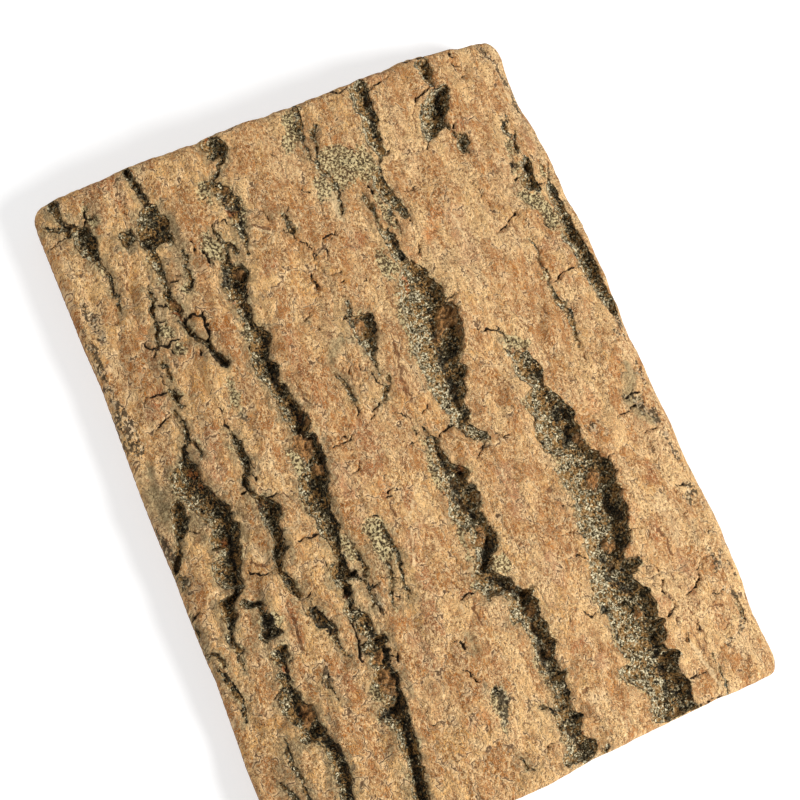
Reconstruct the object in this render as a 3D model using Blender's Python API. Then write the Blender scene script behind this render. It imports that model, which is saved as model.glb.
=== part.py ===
"""A piece of pine bark: one slab cut roughly square, with its flat inner face down.

Run it with: blender --background --python part.py
Lengths in the constants are millimetres, the model is in metres. X runs across the grain,
Y along the grain, +Z out of the bark's outer face. The origin is under the middle of the
slab, on the plane that it rests on.
"""

import math

import bmesh
import bpy
import numpy as np

# --- driving dimensions, in millimetres ---------------------------------------------------
EDGE_HEIGHT = 6.0  # thickness of the slab along its two long edges
CROWN_RISE = 5.5  # how much the middle stands above the long edges: the trunk's curve
HALF_WIDTH = 35.6  # half of the width over which the crown falls
SHOULDER = 1.5  # rounding between the outer face and the cut sides
CORNER_RADIUS = 2.3  # rounding of the four corners, seen from above
FOOT = 0.5  # small bevel where the cut sides meet the flat inner face
FURROW_DEEP = 3.2  # depth of the widest furrows
FURROW_SHALLOW = 0.9  # depth of the narrowest ones that are modelled here
FURROW_WALL = 1.1  # how far a furrow's wall takes to reach its floor
CELLS_ACROSS = 46
CELLS_ALONG = 50

# --- the view in which the outline and the furrows were read ------------------------------
# The points below are in units of 1/800 of a square picture, x to the right and y down. The
# eye is high over the slab, a little to its left and to its near end, and the picture is
# turned so that the grain runs down to the right. spot() carries a point to the slab.
EYE = np.array([-40.15, -25.59, 203.65])
TILT_ACROSS, TILT_ALONG, TURN = -12.0, -9.0, -23.94
FOCAL = 1500.0
MIDDLE = 400.0

LEFT_EDGE = [(40, 240), (60, 290), (80, 340), (100, 385), (120, 440), (142, 500), (160, 545), (175, 580), (190, 620), (206, 660), (218, 687), (243, 757), (257, 800)]
RIGHT_EDGE = [(500, 62), (516, 102), (530, 127), (560, 182), (590, 245), (612, 300), (640, 362), (665, 415), (690, 470), (718, 525), (745, 590), (765, 640), (775, 662)]
FAR_EDGE = [(60, 195), (100, 179), (140, 161), (180, 147), (213, 134), (240, 122), (280, 107), (320, 92), (360, 77), (402, 61), (440, 50), (470, 43)]
NEAR_EDGE = [(760, 683), (720, 699), (680, 719), (640, 738), (600, 758), (560, 780), (540, 792)]

# Furrows, each as points down its middle with its width there.
FURROWS = {
    "far_left": [(52, 203, 9), (64, 226, 10), (85, 232, 14), (95, 246, 10), (108, 277, 6), (120, 305, 4)],
    "left_upper": [(127, 166, 8), (145, 200, 10), (150, 218, 26), (150, 240, 30), (156, 258, 16), (165, 282, 10), (178, 305, 12), (192, 330, 12), (210, 350, 10), (226, 366, 6)],
    "left_middle": [(212, 143, 20), (215, 165, 8), (215, 187, 14), (230, 207, 14), (241, 232, 8), (232, 262, 14), (234, 290, 18), (247, 315, 14), (262, 340, 20), (268, 368, 24), (286, 400, 18), (298, 424, 14), (315, 460, 24), (316, 490, 26), (326, 515, 14), (344, 545, 16), (346, 575, 24), (353, 600, 12), (366, 625, 16), (382, 648, 12), (392, 685, 12), (400, 712, 8)],
    "middle_upper": [(297, 104, 8), (305, 140, 8), (325, 175, 14), (336, 198, 10)],
    "middle": [(362, 82, 14), (370, 110, 15), (378, 140, 14), (381, 168, 12), (390, 195, 18), (388, 225, 10), (396, 255, 12), (408, 280, 22), (425, 320, 40), (436, 350, 42), (448, 385, 34), (458, 412, 16), (475, 432, 14)],
    "far_pit": [(425, 66, 10), (431, 88, 12), (435, 115, 26), (432, 138, 10)],
    "right_upper": [(505, 125, 7), (516, 155, 12), (531, 175, 18), (556, 198, 18), (568, 225, 14), (580, 252, 14), (597, 285, 10), (618, 328, 8)],
    "right": [(510, 345, 10), (525, 368, 24), (540, 395, 26), (556, 425, 38), (580, 460, 42), (596, 500, 46), (605, 545, 40), (616, 585, 46), (636, 620, 46), (655, 660, 44), (672, 700, 42), (674, 718, 30)],
    "middle_lower": [(428, 432, 7), (443, 460, 14), (458, 495, 25), (478, 533, 27), (488, 570, 24), (512, 592, 20), (535, 625, 18), (546, 660, 15), (558, 690, 15), (570, 722, 22), (579, 750, 26)],
    "left_lower": [(185, 460, 14), (190, 488, 36), (210, 515, 42), (227, 550, 26), (230, 585, 22), (233, 620, 16), (240, 652, 8)],
    "left_strand": [(226, 425, 4), (243, 458, 8), (258, 497, 12), (272, 522, 16), (279, 552, 13), (288, 582, 10), (305, 605, 8), (325, 626, 14), (340, 650, 6)],
    "near_left": [(250, 603, 6), (265, 625, 14), (276, 652, 12), (284, 680, 14), (296, 712, 24), (312, 738, 24), (328, 755, 14)],
    "short": [(352, 312, 5), (366, 325, 24), (372, 350, 12), (380, 376, 5)],
}


def view_axes():
    """Right, up and forward of the view, as unit vectors in the slab's frame."""
    towards = np.array([math.tan(math.radians(TILT_ACROSS)), math.tan(math.radians(TILT_ALONG)), 1.0])
    forward = -towards / np.linalg.norm(towards)
    right = np.cross(forward, (0.0, 1.0, 0.0))
    right /= np.linalg.norm(right)
    up = np.cross(right, forward)
    turn = math.radians(TURN)
    return (
        math.cos(turn) * right + math.sin(turn) * up,
        math.cos(turn) * up - math.sin(turn) * right,
        forward,
    )


def crown(x):
    """Height of the outer face's smooth curve above the plane that the slab rests on."""
    return EDGE_HEIGHT + CROWN_RISE * (1.0 - np.minimum(np.abs(x) / HALF_WIDTH, 1.0) ** 2)


def spot(px, py, height=None):
    """The point of the outer face, or of the plane at this height, that a picture point shows."""
    right, up, forward = view_axes()
    ray = (px - MIDDLE) / FOCAL * right - (py - MIDDLE) / FOCAL * up + forward
    point = EYE
    for _ in range(1 if height is not None else 6):
        level = height if height is not None else crown(point[0] if point is not EYE else 0.0)
        point = EYE + ray * ((level - EYE[2]) / ray[2])
    return point[0], point[1]


def edge_line(points, across, height):
    """An edge of the slab as a function: x for y on a long edge, y for x on a cut end."""
    spots = sorted(spot(px, py, height)[:: 1 if across else -1] for px, py in points)
    keys, values = zip(*spots)

    def line(where):
        return np.interp(where, keys, values)

    return line


left_line = edge_line(LEFT_EDGE, False, 2.5)
right_line = edge_line(RIGHT_EDGE, False, 4.5)
far_line = edge_line(FAR_EDGE, True, None)
near_line = edge_line(NEAR_EDGE, True, None)


def spread(count, length):
    """Even grid lines on 0..length, with two closer ones at each end for the shoulder."""
    ends = [0.0, 0.35 * SHOULDER, 1.05 * SHOULDER]
    inner = np.linspace(ends[-1], length - ends[-1], count - 3)
    return np.concatenate([ends[:2], inner, [length - end for end in ends[1::-1]]])


def smooth(t):
    t = np.clip(t, 0.0, 1.0)
    return t * t * (3.0 - 2.0 * t)


def furrow_paths(scale):
    """The furrows on the slab: runs of straight stretches (ax, ay, half-width a, bx, by, half-width b)."""
    stretches = []
    for points in FURROWS.values():
        path = [(*spot(px, py), width / scale / 2.0) for px, py, width in points]
        stretches += [a + b for a, b in zip(path, path[1:])]
    return np.array(stretches)


def furrow_depth(x, y, stretches):
    """How far the furrows lower the outer face at this point."""
    ax, ay, aw, bx, by, bw = stretches.T
    run_x, run_y = bx - ax, by - ay
    along = np.clip(((x - ax) * run_x + (y - ay) * run_y) / (run_x**2 + run_y**2), 0.0, 1.0)
    gap = np.hypot(x - ax - along * run_x, y - ay - along * run_y)
    half = aw + along * (bw - aw)
    full = FURROW_SHALLOW + (FURROW_DEEP - FURROW_SHALLOW) * smooth((half - 0.3) / 2.2)
    return float((full * smooth((half + 0.5 - gap) / FURROW_WALL)).max())


def clear_scene():
    for obj in list(bpy.data.objects):
        bpy.data.objects.remove(obj, do_unlink=True)


def bark_material():
    material = bpy.data.materials.new("bark")
    material.use_nodes = True
    shader = material.node_tree.nodes["Principled BSDF"]
    shader.inputs["Base Color"].default_value = (0.47, 0.27, 0.13, 1.0)
    shader.inputs["Roughness"].default_value = 0.85
    shader.inputs["Metallic"].default_value = 0.0
    return material


def round_corner(a, b):
    """Moves a point of the corner's unit square onto the unit quarter disc."""
    return a * math.sqrt(1.0 - b * b / 2.0), b * math.sqrt(1.0 - a * a / 2.0)


def place(u, v, width, length):
    """Plan position and distance to the nearest edge of a grid point u across, v along."""
    edge = min(u, width - u, v, length - v)
    side_u = 1.0 if u > width / 2.0 else -1.0
    side_v = 1.0 if v > length / 2.0 else -1.0
    over_u = (side_u * (u - width / 2.0) - (width / 2.0 - CORNER_RADIUS)) / CORNER_RADIUS
    over_v = (side_v * (v - length / 2.0) - (length / 2.0 - CORNER_RADIUS)) / CORNER_RADIUS
    if over_u > 0.0 and over_v > 0.0:
        over_u, over_v = round_corner(over_u, over_v)
        u = width / 2.0 + side_u * (width / 2.0 - CORNER_RADIUS + over_u * CORNER_RADIUS)
        v = length / 2.0 + side_v * (length / 2.0 - CORNER_RADIUS + over_v * CORNER_RADIUS)
        edge = CORNER_RADIUS * (1.0 - math.hypot(over_u, over_v))
    # The four edge lines bend the plain rectangle to the slab's uneven outline.
    y_plain = v - length / 2.0
    left, right = left_line(y_plain), right_line(y_plain)
    x = left + (right - left) * u / width
    near, far = near_line(x), far_line(x)
    y = near + (far - near) * v / length
    return float(x), float(y), edge


def build_slab(material, collection):
    """The outer face is a displaced grid, its rim is drawn down to the flat inner face."""
    bpy.ops.mesh.primitive_grid_add(x_subdivisions=CELLS_ACROSS, y_subdivisions=CELLS_ALONG, size=2.0)
    slab = bpy.context.active_object
    slab.name = slab.data.name = "bark_slab"
    for owner in list(slab.users_collection):
        owner.objects.unlink(slab)
    collection.objects.link(slab)

    width, length = 71.0, 100.0
    across = spread(CELLS_ACROSS + 1, width)
    along = spread(CELLS_ALONG + 1, length)
    stretches = furrow_paths(FOCAL / (EYE[2] - EDGE_HEIGHT - CROWN_RISE))

    mesh = bmesh.new()
    mesh.from_mesh(slab.data)
    for vert in mesh.verts:
        i = round((vert.co.x + 1.0) / 2.0 * CELLS_ACROSS)
        j = round((vert.co.y + 1.0) / 2.0 * CELLS_ALONG)
        x, y, edge = place(across[i], along[j], width, length)
        inset = max(0.0, 1.0 - max(edge, 0.0) / SHOULDER)
        rounded = SHOULDER * (1.0 - math.sqrt(max(0.0, 1.0 - inset * inset)))
        swell = 0.25 * math.sin(x * 0.55 + 1.3 * math.sin(y * 0.11)) * math.sin(y * 0.17 + 0.6)
        furrow = furrow_depth(x, y, stretches) * (1.0 - 0.55 * inset)
        vert.co = (x, y, crown(x) + swell * (1.0 - inset) - furrow - rounded)

    rim = [edge for edge in mesh.edges if edge.is_boundary]
    for height, inward in ((FOOT, 0.0), (0.0, FOOT)):
        grown = bmesh.ops.extrude_edge_only(mesh, edges=rim)["geom"]
        for vert in (item for item in grown if isinstance(item, bmesh.types.BMVert)):
            middle = math.hypot(vert.co.x, vert.co.y)
            vert.co.x -= inward * vert.co.x / middle
            vert.co.y -= inward * vert.co.y / middle
            vert.co.z = height
        rim = [item for item in grown if isinstance(item, bmesh.types.BMEdge) and item.is_boundary]
    floor = bmesh.ops.holes_fill(mesh, edges=rim, sides=0)["faces"]
    bmesh.ops.poke(mesh, faces=floor)

    # The box's middle goes over the origin.
    spots = np.array([vert.co[:2] for vert in mesh.verts])
    middle = (spots.min(axis=0) + spots.max(axis=0)) / 2.0
    for vert in mesh.verts:
        vert.co.x = (vert.co.x - middle[0]) / 1000.0
        vert.co.y = (vert.co.y - middle[1]) / 1000.0
        vert.co.z /= 1000.0
    bmesh.ops.recalc_face_normals(mesh, faces=mesh.faces)
    mesh.to_mesh(slab.data)
    mesh.free()

    slab.data.materials.append(material)
    slab.data.shade_smooth()
    slab.data.set_sharp_from_angle(angle=math.radians(40.0))
    return slab


def main():
    clear_scene()
    collection = bpy.data.collections.new("piece_of_bark")
    bpy.context.scene.collection.children.link(collection)
    build_slab(bark_material(), collection)


main()
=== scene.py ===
"""The look of a piece of pine bark, laid flat on its inner face and seen from above.

The bark's face is a height field in millimetres over the slab: the trunk's curve, thin flakes
in terraces, furrows with a steep right bank and a gentle left one, cracks, and crumbs on the
furrows' floors. Outline, furrows, cracks, flake rims, stains and the painted highlights along the edges were read as
points of a square picture of 800 units, and spot() carries them to the slab as part.py does.
"""

import math

import bmesh
import bpy
import numpy as np
from mathutils import Matrix, Vector
from mathutils.geometry import delaunay_2d_cdt

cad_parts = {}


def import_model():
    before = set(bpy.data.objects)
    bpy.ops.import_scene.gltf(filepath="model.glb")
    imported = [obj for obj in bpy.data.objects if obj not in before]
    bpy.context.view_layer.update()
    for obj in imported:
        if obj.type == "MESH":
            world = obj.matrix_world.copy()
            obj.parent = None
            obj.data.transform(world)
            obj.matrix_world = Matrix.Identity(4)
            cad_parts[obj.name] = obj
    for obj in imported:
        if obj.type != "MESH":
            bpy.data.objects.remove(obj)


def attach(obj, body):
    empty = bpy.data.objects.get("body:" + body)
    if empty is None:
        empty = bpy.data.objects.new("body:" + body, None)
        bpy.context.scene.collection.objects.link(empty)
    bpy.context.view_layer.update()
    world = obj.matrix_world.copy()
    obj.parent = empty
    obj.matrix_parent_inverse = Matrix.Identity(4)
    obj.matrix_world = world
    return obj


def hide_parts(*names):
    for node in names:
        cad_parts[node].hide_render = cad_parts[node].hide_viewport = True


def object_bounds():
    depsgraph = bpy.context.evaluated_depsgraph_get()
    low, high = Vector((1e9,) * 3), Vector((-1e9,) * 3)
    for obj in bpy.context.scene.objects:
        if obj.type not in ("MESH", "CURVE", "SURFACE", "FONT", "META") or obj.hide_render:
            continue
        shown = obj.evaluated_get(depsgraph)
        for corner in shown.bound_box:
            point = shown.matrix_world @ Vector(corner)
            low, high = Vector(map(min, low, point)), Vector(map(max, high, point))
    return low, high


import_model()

CAD_LOW, CAD_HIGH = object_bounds()

# --- the slab, in millimetres, as in the CAD ------------------------------------------------
EDGE_HEIGHT = 6.0
CROWN_RISE = 5.5
HALF_WIDTH = 35.6
SHOULDER = 1.5
CORNER_RADIUS = 2.3
FOOT = 0.5
PLAIN_WIDTH, PLAIN_LENGTH = 71.0, 100.0

EYE = np.array([-40.15, -25.59, 203.65])
TILT_ACROSS, TILT_ALONG, TURN = -12.0, -9.0, -23.94
FOCAL = 1500.0
MIDDLE = 400.0
PX = FOCAL / (EYE[2] - EDGE_HEIGHT - CROWN_RISE)  # picture units per millimetre

LEFT_EDGE = [(40, 240), (60, 290), (80, 340), (100, 385), (120, 440), (142, 500), (160, 545), (175, 580), (190, 620), (206, 660), (218, 687), (243, 757), (257, 800)]
RIGHT_EDGE = [(500, 62), (516, 102), (530, 127), (560, 182), (590, 245), (612, 300), (640, 362), (665, 415), (690, 470), (718, 525), (745, 590), (765, 640), (775, 662)]
FAR_EDGE = [(60, 195), (100, 179), (140, 161), (180, 147), (213, 134), (240, 122), (280, 107), (320, 92), (360, 77), (402, 61), (440, 50), (470, 43)]
NEAR_EDGE = [(760, 683), (720, 699), (680, 719), (640, 738), (600, 758), (560, 780), (540, 792)]

# --- markings, read in picture units ----------------------------------------------------------
def trace(text):
    """A list of lines or outlines: points of numbers joined by commas, one shape to a row."""
    return [[tuple(float(n) for n in point.split(",")) for point in row.split()] for row in text.strip().splitlines() if row.strip()]


# Outlines of the furrows' floors
FLOORS = trace("""
47,202 52,200 57,203 59,212 63,220 66,227 60,226 56,222 52,214 49,209
72,228 80,230 86,226 90,231 95,239 98,246 101,252 102,259 100,263 90,262 84,256 80,252 76,248 73,240 73,233
122,171 129,167 130,172 133,178 137,183 141,189 145,194 149,200 148,204 146,207 143,205 141,200 138,196 134,190 130,186 127,180 123,175
146,207 139,213 137,220 136,230 137,240 141,247 146,251 147,258 150,265 154,270 160,280 162,290 165,300 169,305 173,310 177,315 186,318 182,313 183,307 178,304 172,300 170,294 168,286 166,278 164,270 160,262 156,254 157,248 160,244 166,240 170,244 175,244 174,238 170,232 170,227 168,220 162,215 158,210 153,205 148,204
118,234 122,233 127,233 131,232 135,235 137,240 138,243 133,242 130,245 127,250 124,248 121,243 118,240
203,341 208,340 214,348 222,357 229,365 228,369 222,366 214,356 208,349
199,146 203,142 208,139 212,138 217,139 222,141 226,143 227,150 227,155 225,160 224,165 219,167 220,171 218,176 215,179 213,181 210,180 214,176 216,171 215,168 218,164 222,160 217,158 212,160 208,159 206,153 202,150
205,182 212,181 219,184 226,187 232,190 235,194 240,198 240,204 241,212 243,220 245,228 247,238 248,246 251,252 247,254 244,246 241,238 238,232 234,225 230,216 226,208 222,201 216,196 210,190
221,262 228,262 236,266 243,263 248,269 249,276 247,284 245,290 246,297 250,305 251,313 252,318 256,325 262,328 268,330 270,338 270,346 269,352 268,358 273,361 276,366 278,372 278,380 284,385 290,392 293,398 298,404 302,410 308,413 311,420 310,428 307,432 314,434 318,443 321,449 324.6,456 327,464 329,474.6 328,481.5 328,489.6 330,499 330.4,510 335,521 339.6,527.7 340,536 341,548.5 342.5,556.5 346.5,564.6 348,569 350,573 356,571 359,574 364,579 369,582 366,584 360,580 354,577 348,579 342,582 336,584 330,580 330,572 333,565 338,560 333,552 329,545 324.6,538 317.7,530 317.7,522 311,516 305,507 300,498 299,488 298,480 302,472 300,458 293,449 292,440 294,433 288,428 286,420 281,412 277,404 272,396 268,388 262,380 255,372 251,362 252,355 250,345 247,333 243,325 240,318 238,312 232,303 226,292 223,285 222,272
334,583 347,580 352,589 353.5,593 352.7,598.5 356,607.7 361.5,612.7 367,613.8 372,620.8 374.8,629 374.8,634.6 380,633 385.8,634.6 387,640 384.6,643.8 388,649.6 390,654 390,660 389,665.8 392.7,669 397,672.7 399.6,680.8 401,688.8 403,697 405,701.5 407,709.6 408,716 412,728 416,740 420,755 424,772 427,792 431,815 436,838 424,842 418,822 413,800 410,780 405,762 400,745 393,730 384,722 376,720 378,712 386,704 383,698 378,690 373,684 371,680 374,668 370,664 370,655 363,652 360,646 366,642 370,638 366,636 358,630 355,623 351,620 350,615 345.8,611 348,605 344.6,597 340,590
350,84 356,80 363,79 368,88 370,95 372,103 374,110 377,117 377,125 380,132 383,140 385,148 388,153 385,156 382,158 380,164 378,162 376,154 372,148 366,143 366,137 362,130 362,120 358,113 353,108 350,100 350,92
380,166 383,175 388,186 394,192 399,198 404,206 409,215 406,218 402,214 397,210 391,207 386,203 380,196 374,188 372,182 374,174 378,170
384,230 388,230 394,234 399,244 402,254 407,262 404,268 396,262 391,254 386,243 380,236 378,230
398,262 400,272 398,280 400,290 400,300 403,310 404,318 407,325 410,335 412,345 415,355 420,365 426,378 431,389 437,399 446,408 450,414 451.5,420 452.7,423.5 460.8,428 466.5,432.7 474.6,438.5 478,440 482.7,440.8 490,439.6 490.8,436 486,432.7 479,430 473.5,425.8 467.7,423.5 469,420 470.5,417.7 469,411 466.5,405 464,400 467,394 463,380 466,375 467,367 460,362 459,355 463,346 464,340 463,330 459,320 456,312 453,302 448,301 443,302 446,297 443,295 441,287 436,284 431,279 425,268 420,266 412,262 405,262
414,64 420,62 427,66 431,72 431,79 434,84 431,86 425,82 421,76 419,70
437,88 445,88 448,95 448,105 446,114 444,120 447,126 441,130 436,135 431,138 428,142 424,138 422,128 421,118 421,108 424,101 430,96 434,90
458,134 464,134 467,139 470,143 468,147 468,152 463,153 459,146 457,140
521,165 524,160 528,158 531,166 533,174 537,182 541,190 536,191 530,190 524,188 520,182 521,177 525,176 521,170
549,183 553,184 558,190 559,198 563,202 566,210 569,215 572,222 575,230 580,236 583,242 587,250 592,257 596,263 599,271 601,281 606,288 610,294 614,302 618,312 616,318 610,312 604,304 597,296 590,285 585,276 580,268 575,260 573,252 568,245 562,242 561,236 561,228 559,220 556,212 552,204 550,196 546,190
505,349 512,352 520,350 528,350 533,358 538,359 541,368 543,378 543,384 541,390 534,388 528,383 522,380 516,374 511,368 513,360
531,389 525.4,395.8 524,402.7 528.8,412 535.8,416.5 534.6,427 540,433.8 540,440.8 547,451 557.7,454.6 562,459 562,465 557.7,466 556.5,473 562,480 563.5,485.8 570,490 575,503 578.5,510 572.7,515.8 577,518 577,526 578.5,532 585.8,540 585.4,550 588.8,556 589,562 591.5,566.5 590,578 593.8,592 592.7,597.7 599.6,602 600.8,611.5 607.7,615 610,623 612,630 615.8,638 615.8,647 621.5,652 625,657.7 629.6,656.5 633,664.6 618,670 619,677 628.5,682 638.8,687.7 644.6,688.8 648,697 650,705 649,713 656,724 666,723 674,719 688,711 699,708 693,699 690,686 686,676 679,670 677,663 681,651 672,649 665,647 663,641.5 667.7,635.8 666.5,630 662.7,624.6 665,618.8 657,613.8 657,603.8 654.6,598 648.8,594.6 647.7,590 642,585 635,580.8 633,573.5 637.7,570 641,563 638.8,557 622.7,558.5 622.7,550 627,547 629,539 630,531 627,527.7 627,522 624.6,516 625.8,510 623.8,500.8 619,498.5 620,494 622,489 614.6,483.5 616,474 612,462 606,456 600,454.6 599.6,450.6 591.5,450 587,445 587,440.8 580.6,433.8 580,425.8 573,420 574.8,410.8 566,405 561.5,399 557,393 550,388 543,385 537,386
421,419 425,428.5 428,436 429,444 432,456 433,464 436,472 441,482 444,492 448,496.5 450,508 451.5,518.5 458.5,522.7 463,525 467.7,529.6 471,540 476,549 478,556 477,566 473,572 478,579 474,585 479,592 485,597.7 490.8,602 492,596 498.8,594 502,593 508.5,598.8 510.8,609 512,618 516.5,624 520,620.8 525.8,631 531.5,639 535,649 536,656 539,661 541,669 545,678.5 550,687 553.5,694 554.6,707 556,719 561,733 565,747 563,760 567,768 579,763 588,763 595,754 599,744 591,740 582,733 581,720 584,712 578.8,713 573,708.5 569.6,701.5 569.6,693.5 566,689 565,682 566,676 568.5,668 561.5,671.5 557,668 554.6,660 552.9,650.8 555.8,641.5 552,637 547.7,630 546.5,622 542,619.6 538.5,616 538.5,609 536,598.8 530,594 533.8,587 529,589.6 522,589.6 516.5,586 510.8,579 505,575.8 495,574 491,566 494,560 490.8,556 497.7,547 497.7,541 495.4,533 490.8,527 486,520 480.4,512 479.8,500.8 478,491.5 474.6,484.6 467.7,482 466.5,478.8 470,470 463,467 457.9,463.8 450,461.5 445.8,455.8 442,450 438,441 431,434 426,427
183,444 187,447 189,457 193,463 198,468 203,473 200,480 206,484 212,490 217,496 222,502 228,506 231.5,510 234,518 238,522 240,530 239.6,540 242,550 241,556 241,562 240,570 240,578 244,582 242,588 239,596 238,600 236.5,604 236,615 236,626 233,632 235,642 238,649 245,650 246,653 240,654 242,661 243.7,666.5 244,671 241,664 238,656 232,650 228,646 226,640 227,636 230,633 228,628 224.6,621.5 219,613.5 219,601 228,598 233,594 233,590 228,590 221,588 216.5,582 215,575 213,568.5 212.5,563 220,559 220,551 213,550 211,546 209.6,538 211,530 209,522 203,520 197,514 192,510 188,505 184,500 178,497 174,490 171,480 172,470 178,466 180,456
174,502 179,500 184,506 188,515 188,525 187,533 184,540 179,541 175,536 172,528 171,518 172,508
178,557 180,560 179,568 178,574 176,579 174,575 172,567 171,562 175,558
241,601 250,602 259,600 266,604 263,608 265,612 271,616 273,622 279,629 286,632 278,636 272,638 265,642 260,640 261,632 260,622 259,613 254,607 247,609 242,606
272,652 280,646 288,644 289,655 287,665 290,673 292,680 288,683 293,690 299,690 301,697 305,703 312,706 317,712 320,719 325,725 326,732 331,739 336,746 341,753 348,765 352,780 356,800 364,830 352,840 347,815 340,795 334,775 328,760 323,748 318,742 313,740 309,744 303,744 298,738 300,731 296,728 290,720 286,716 281,710 278,703 281,695 283,688 279,682 274,680 275,675 281,672 283,668 277,665 271,657
228,430 231,431 234,436 241,440 242,448 246.5,454 251,463.5 250,470 249,477 246,478 243,470 241,465 238,456 236,452 232,445 231,437
241,476 242,484 244,490 250,495 257,501.5 258,505 260,509.6 261.5,515 265,521 266,526 270,531.5 272.5,538.5 272,546.5 273,554.6 274,562.7 275,568.5 278,571 280,574 283,580 285,587 290,592 295,596 300,600 302,596 297,586 294,580 288,576.5 284,570 283.5,562.7 283.5,554.6 286,548 286,541 283.5,538.5 282,534 280,526 278,518 281,515 281,508.5 279,504 273,500 267,498 260,497 254,494 249,487 246,480
310,597 312,603 311.7,607.7 305,612 306.5,615.8 314.6,621.5 320,628.5 327,628 328.5,633 333,636.5 336.5,647 341,651.5 348,656 352,660 352,657 346,652 342,649 340,639 337.7,629.6 336.5,623.8 328.5,621.5 322.7,614.6 320,608 318,611 313.5,606.5 312,600
345,315 350,316 360,314 372,313 374,320 376,328 377,336 380,338 377,342 376,350 375,358 376,362 378,370 380,376 377,374 373,366 371,361 368,356 364,350 359,345 357,340 353,334 350,326 349,318
193,623 198,628 202,632 203,641 200,641 196,632 193,627
""")

# Narrow furrows: x, y and width along their middle
CHANNELS = trace("""
44,230,1 50,231,4 56,232,5 62,230,5 66,229,5 72,227,3 77,227,2
68,232,6 69,238,6
97,264,3 102,266,3.5 106,270,3.5 109,276,3.5 112,282,3.5 113,288,3.5 114,294,3 116,297,3
117,296,2 119,300,2 120,305,2 121,310,2
184,430,2.5 186,436,3 188,442,3
172,309,3 178,314,3 183,318,3.5
180,320,4 186,326,4 191,332,4 195,336,4 199,340,4 205,343,4
150,293,4 153,297,4 157,301,4
153,304,4 152,312,4.5 154,318,4 157,322,4 157,330,5 157,338,4.5 158,345,4
181,250,3 183,256,3 188,256,3.5 186,262,3.5 185,268,3.5 188,274,4 190,280,4 190,286,4 187,290,3
162,364,2 165,368,3 167,373,3 170,379,3 172,382,3
168,391,2 172,394,5 177,400,6 182,405,5
174,411,3 177,416,4 181,422,4 184,427,4 187,433,3 188,440,3
189,439,2 194,443,3 197,448,3 199,452,3 202,458,2
208,183,3 213,187,3
213,232,3 218,238,5 223,243,5 226,250,4 228,258,5 226,263,5
226,243,4 232,248,4 237,253,3
295,110,8 298,116,5 299,124,6 300,131,6 302,138,5 303,143,3 307,150,3 310,155,3 313,160,3 317,166,3 321,172,1.5
318,122,1 315,128,4.5 313,138,4.5 315,144,4.5 317,150,4.5 316,157,3
320,172,3 327,175,4 331,180,4 335,187,4 338,194,4 339,200,4 341,206,4 342,212,3
378,162,3 379,168,3
360,192,3 366,200,5 371,206,5 374,212,5 376,218,4 378,226,4 380,231,4
388,210,2 394,219,2.5 398,226,2.5 401,234,2
380,226,4 386,231,6
282,215,3 286,217,4 288,222,4 290,228,4 293,230,4 291,233,3
418,60,3 424,57,3
424,60,3 427,65,3 430,71,3 431,77,3
448,126,2.5 451,131,2.5 456,135,3 458,139,3
505,115,2 508,119,3 507,122,3
502,122,4 503,128,4 505,133,5 509,137,4
515,130,1.5 513.8,137,3 514.4,146,4 515.6,151,6
518,154,2 524,158,3 528,162,3 530,168,3
548,163.5,2 548.5,171.5,2 548,181,2.5 549,184,4
526,237,1.2 530,243,1.5 534,247,2 537,251,2.2 539,256,2.5 538,261,3 541,266,3 545,272,3.5 549,277,4 549,283,4 552,290,4 555,297,5 557,300,7 563,305,6 570,312,6 574,325,5 576,337,3 579,343,2.5 580,347,2
500,331,2 504,336,2.5 508,341,2.5
179,541,5 180,548,3 178,556,4
182,541,3 179,548,4 178,557,5
181,577,2 184,582,2 182,586,2 184,592,2
190,614.6,2 192,618,2 194.6,621,3
201.5,644.6,2 203.8,650,2 207,653,2
206,659.6,3 209.6,656.7,3 213.7,654,3 220,659.6,4 224.6,665,3
221,671,3 228,679,5 232.7,687,6 236,695,5 239.6,696.5,4.5 242,703.5,4.5 245,709,4 244,713.8,3.5 246.5,723,3
283,572,3 286,578,4
285,738,2 286,748,4 290,761,4.5 294,769,4.5 300,776,4 303,783,4 308,800,4 314,820,4
276.5,778,2 278,783,2 282,784.5,3 286.4,788,4 290,791.5,5 295,799,6 303,815,6 308,832,5
347,302,4 349,308,4 350,313,4
374,366,4 377,371,3 380,376,2
390,376,2 389,382,3 387,390,5 385,397,3 382,402,2
336,373,2 340,378,3.5 344,382,4 348,388,4 350,394,3.5 354,398,3.5 357,400,3
349,540,1.5 354.6,548.5,2.5 358,553,2.5 359,559,2.5 364,566,3 366,577,3
370,586,4 370,594,3 372,600,3 372,607,2
378,521,2 385,530,4 390,541,5 395,550,5 399,560,4 401,568,4 405,583,3.5 408,591,3 409.4,598,1
387,560,3 391,571,3.5 391.5,580,3.5 391.5,591,3 394,598,2.5 394,604,2 397,610,1
327,680,3 327,685,3 330.8,689.6,2 334,694,2 340,700.6,1
494,688,2 499,694,3
474,574,2 482,570,5 488,565,8
541,708.5,3 543,706,3 550,710.8,3 554,713,3
522,758,2.5 527,768,2.5 534,769,2.5
606,751,3 609,745,3
738,600,4 741,608,4 742,614,4 744.6,621,2.5
713,654,1.5 720,670,1.5 727,685,1.5 728,694,1.5
""")
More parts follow.
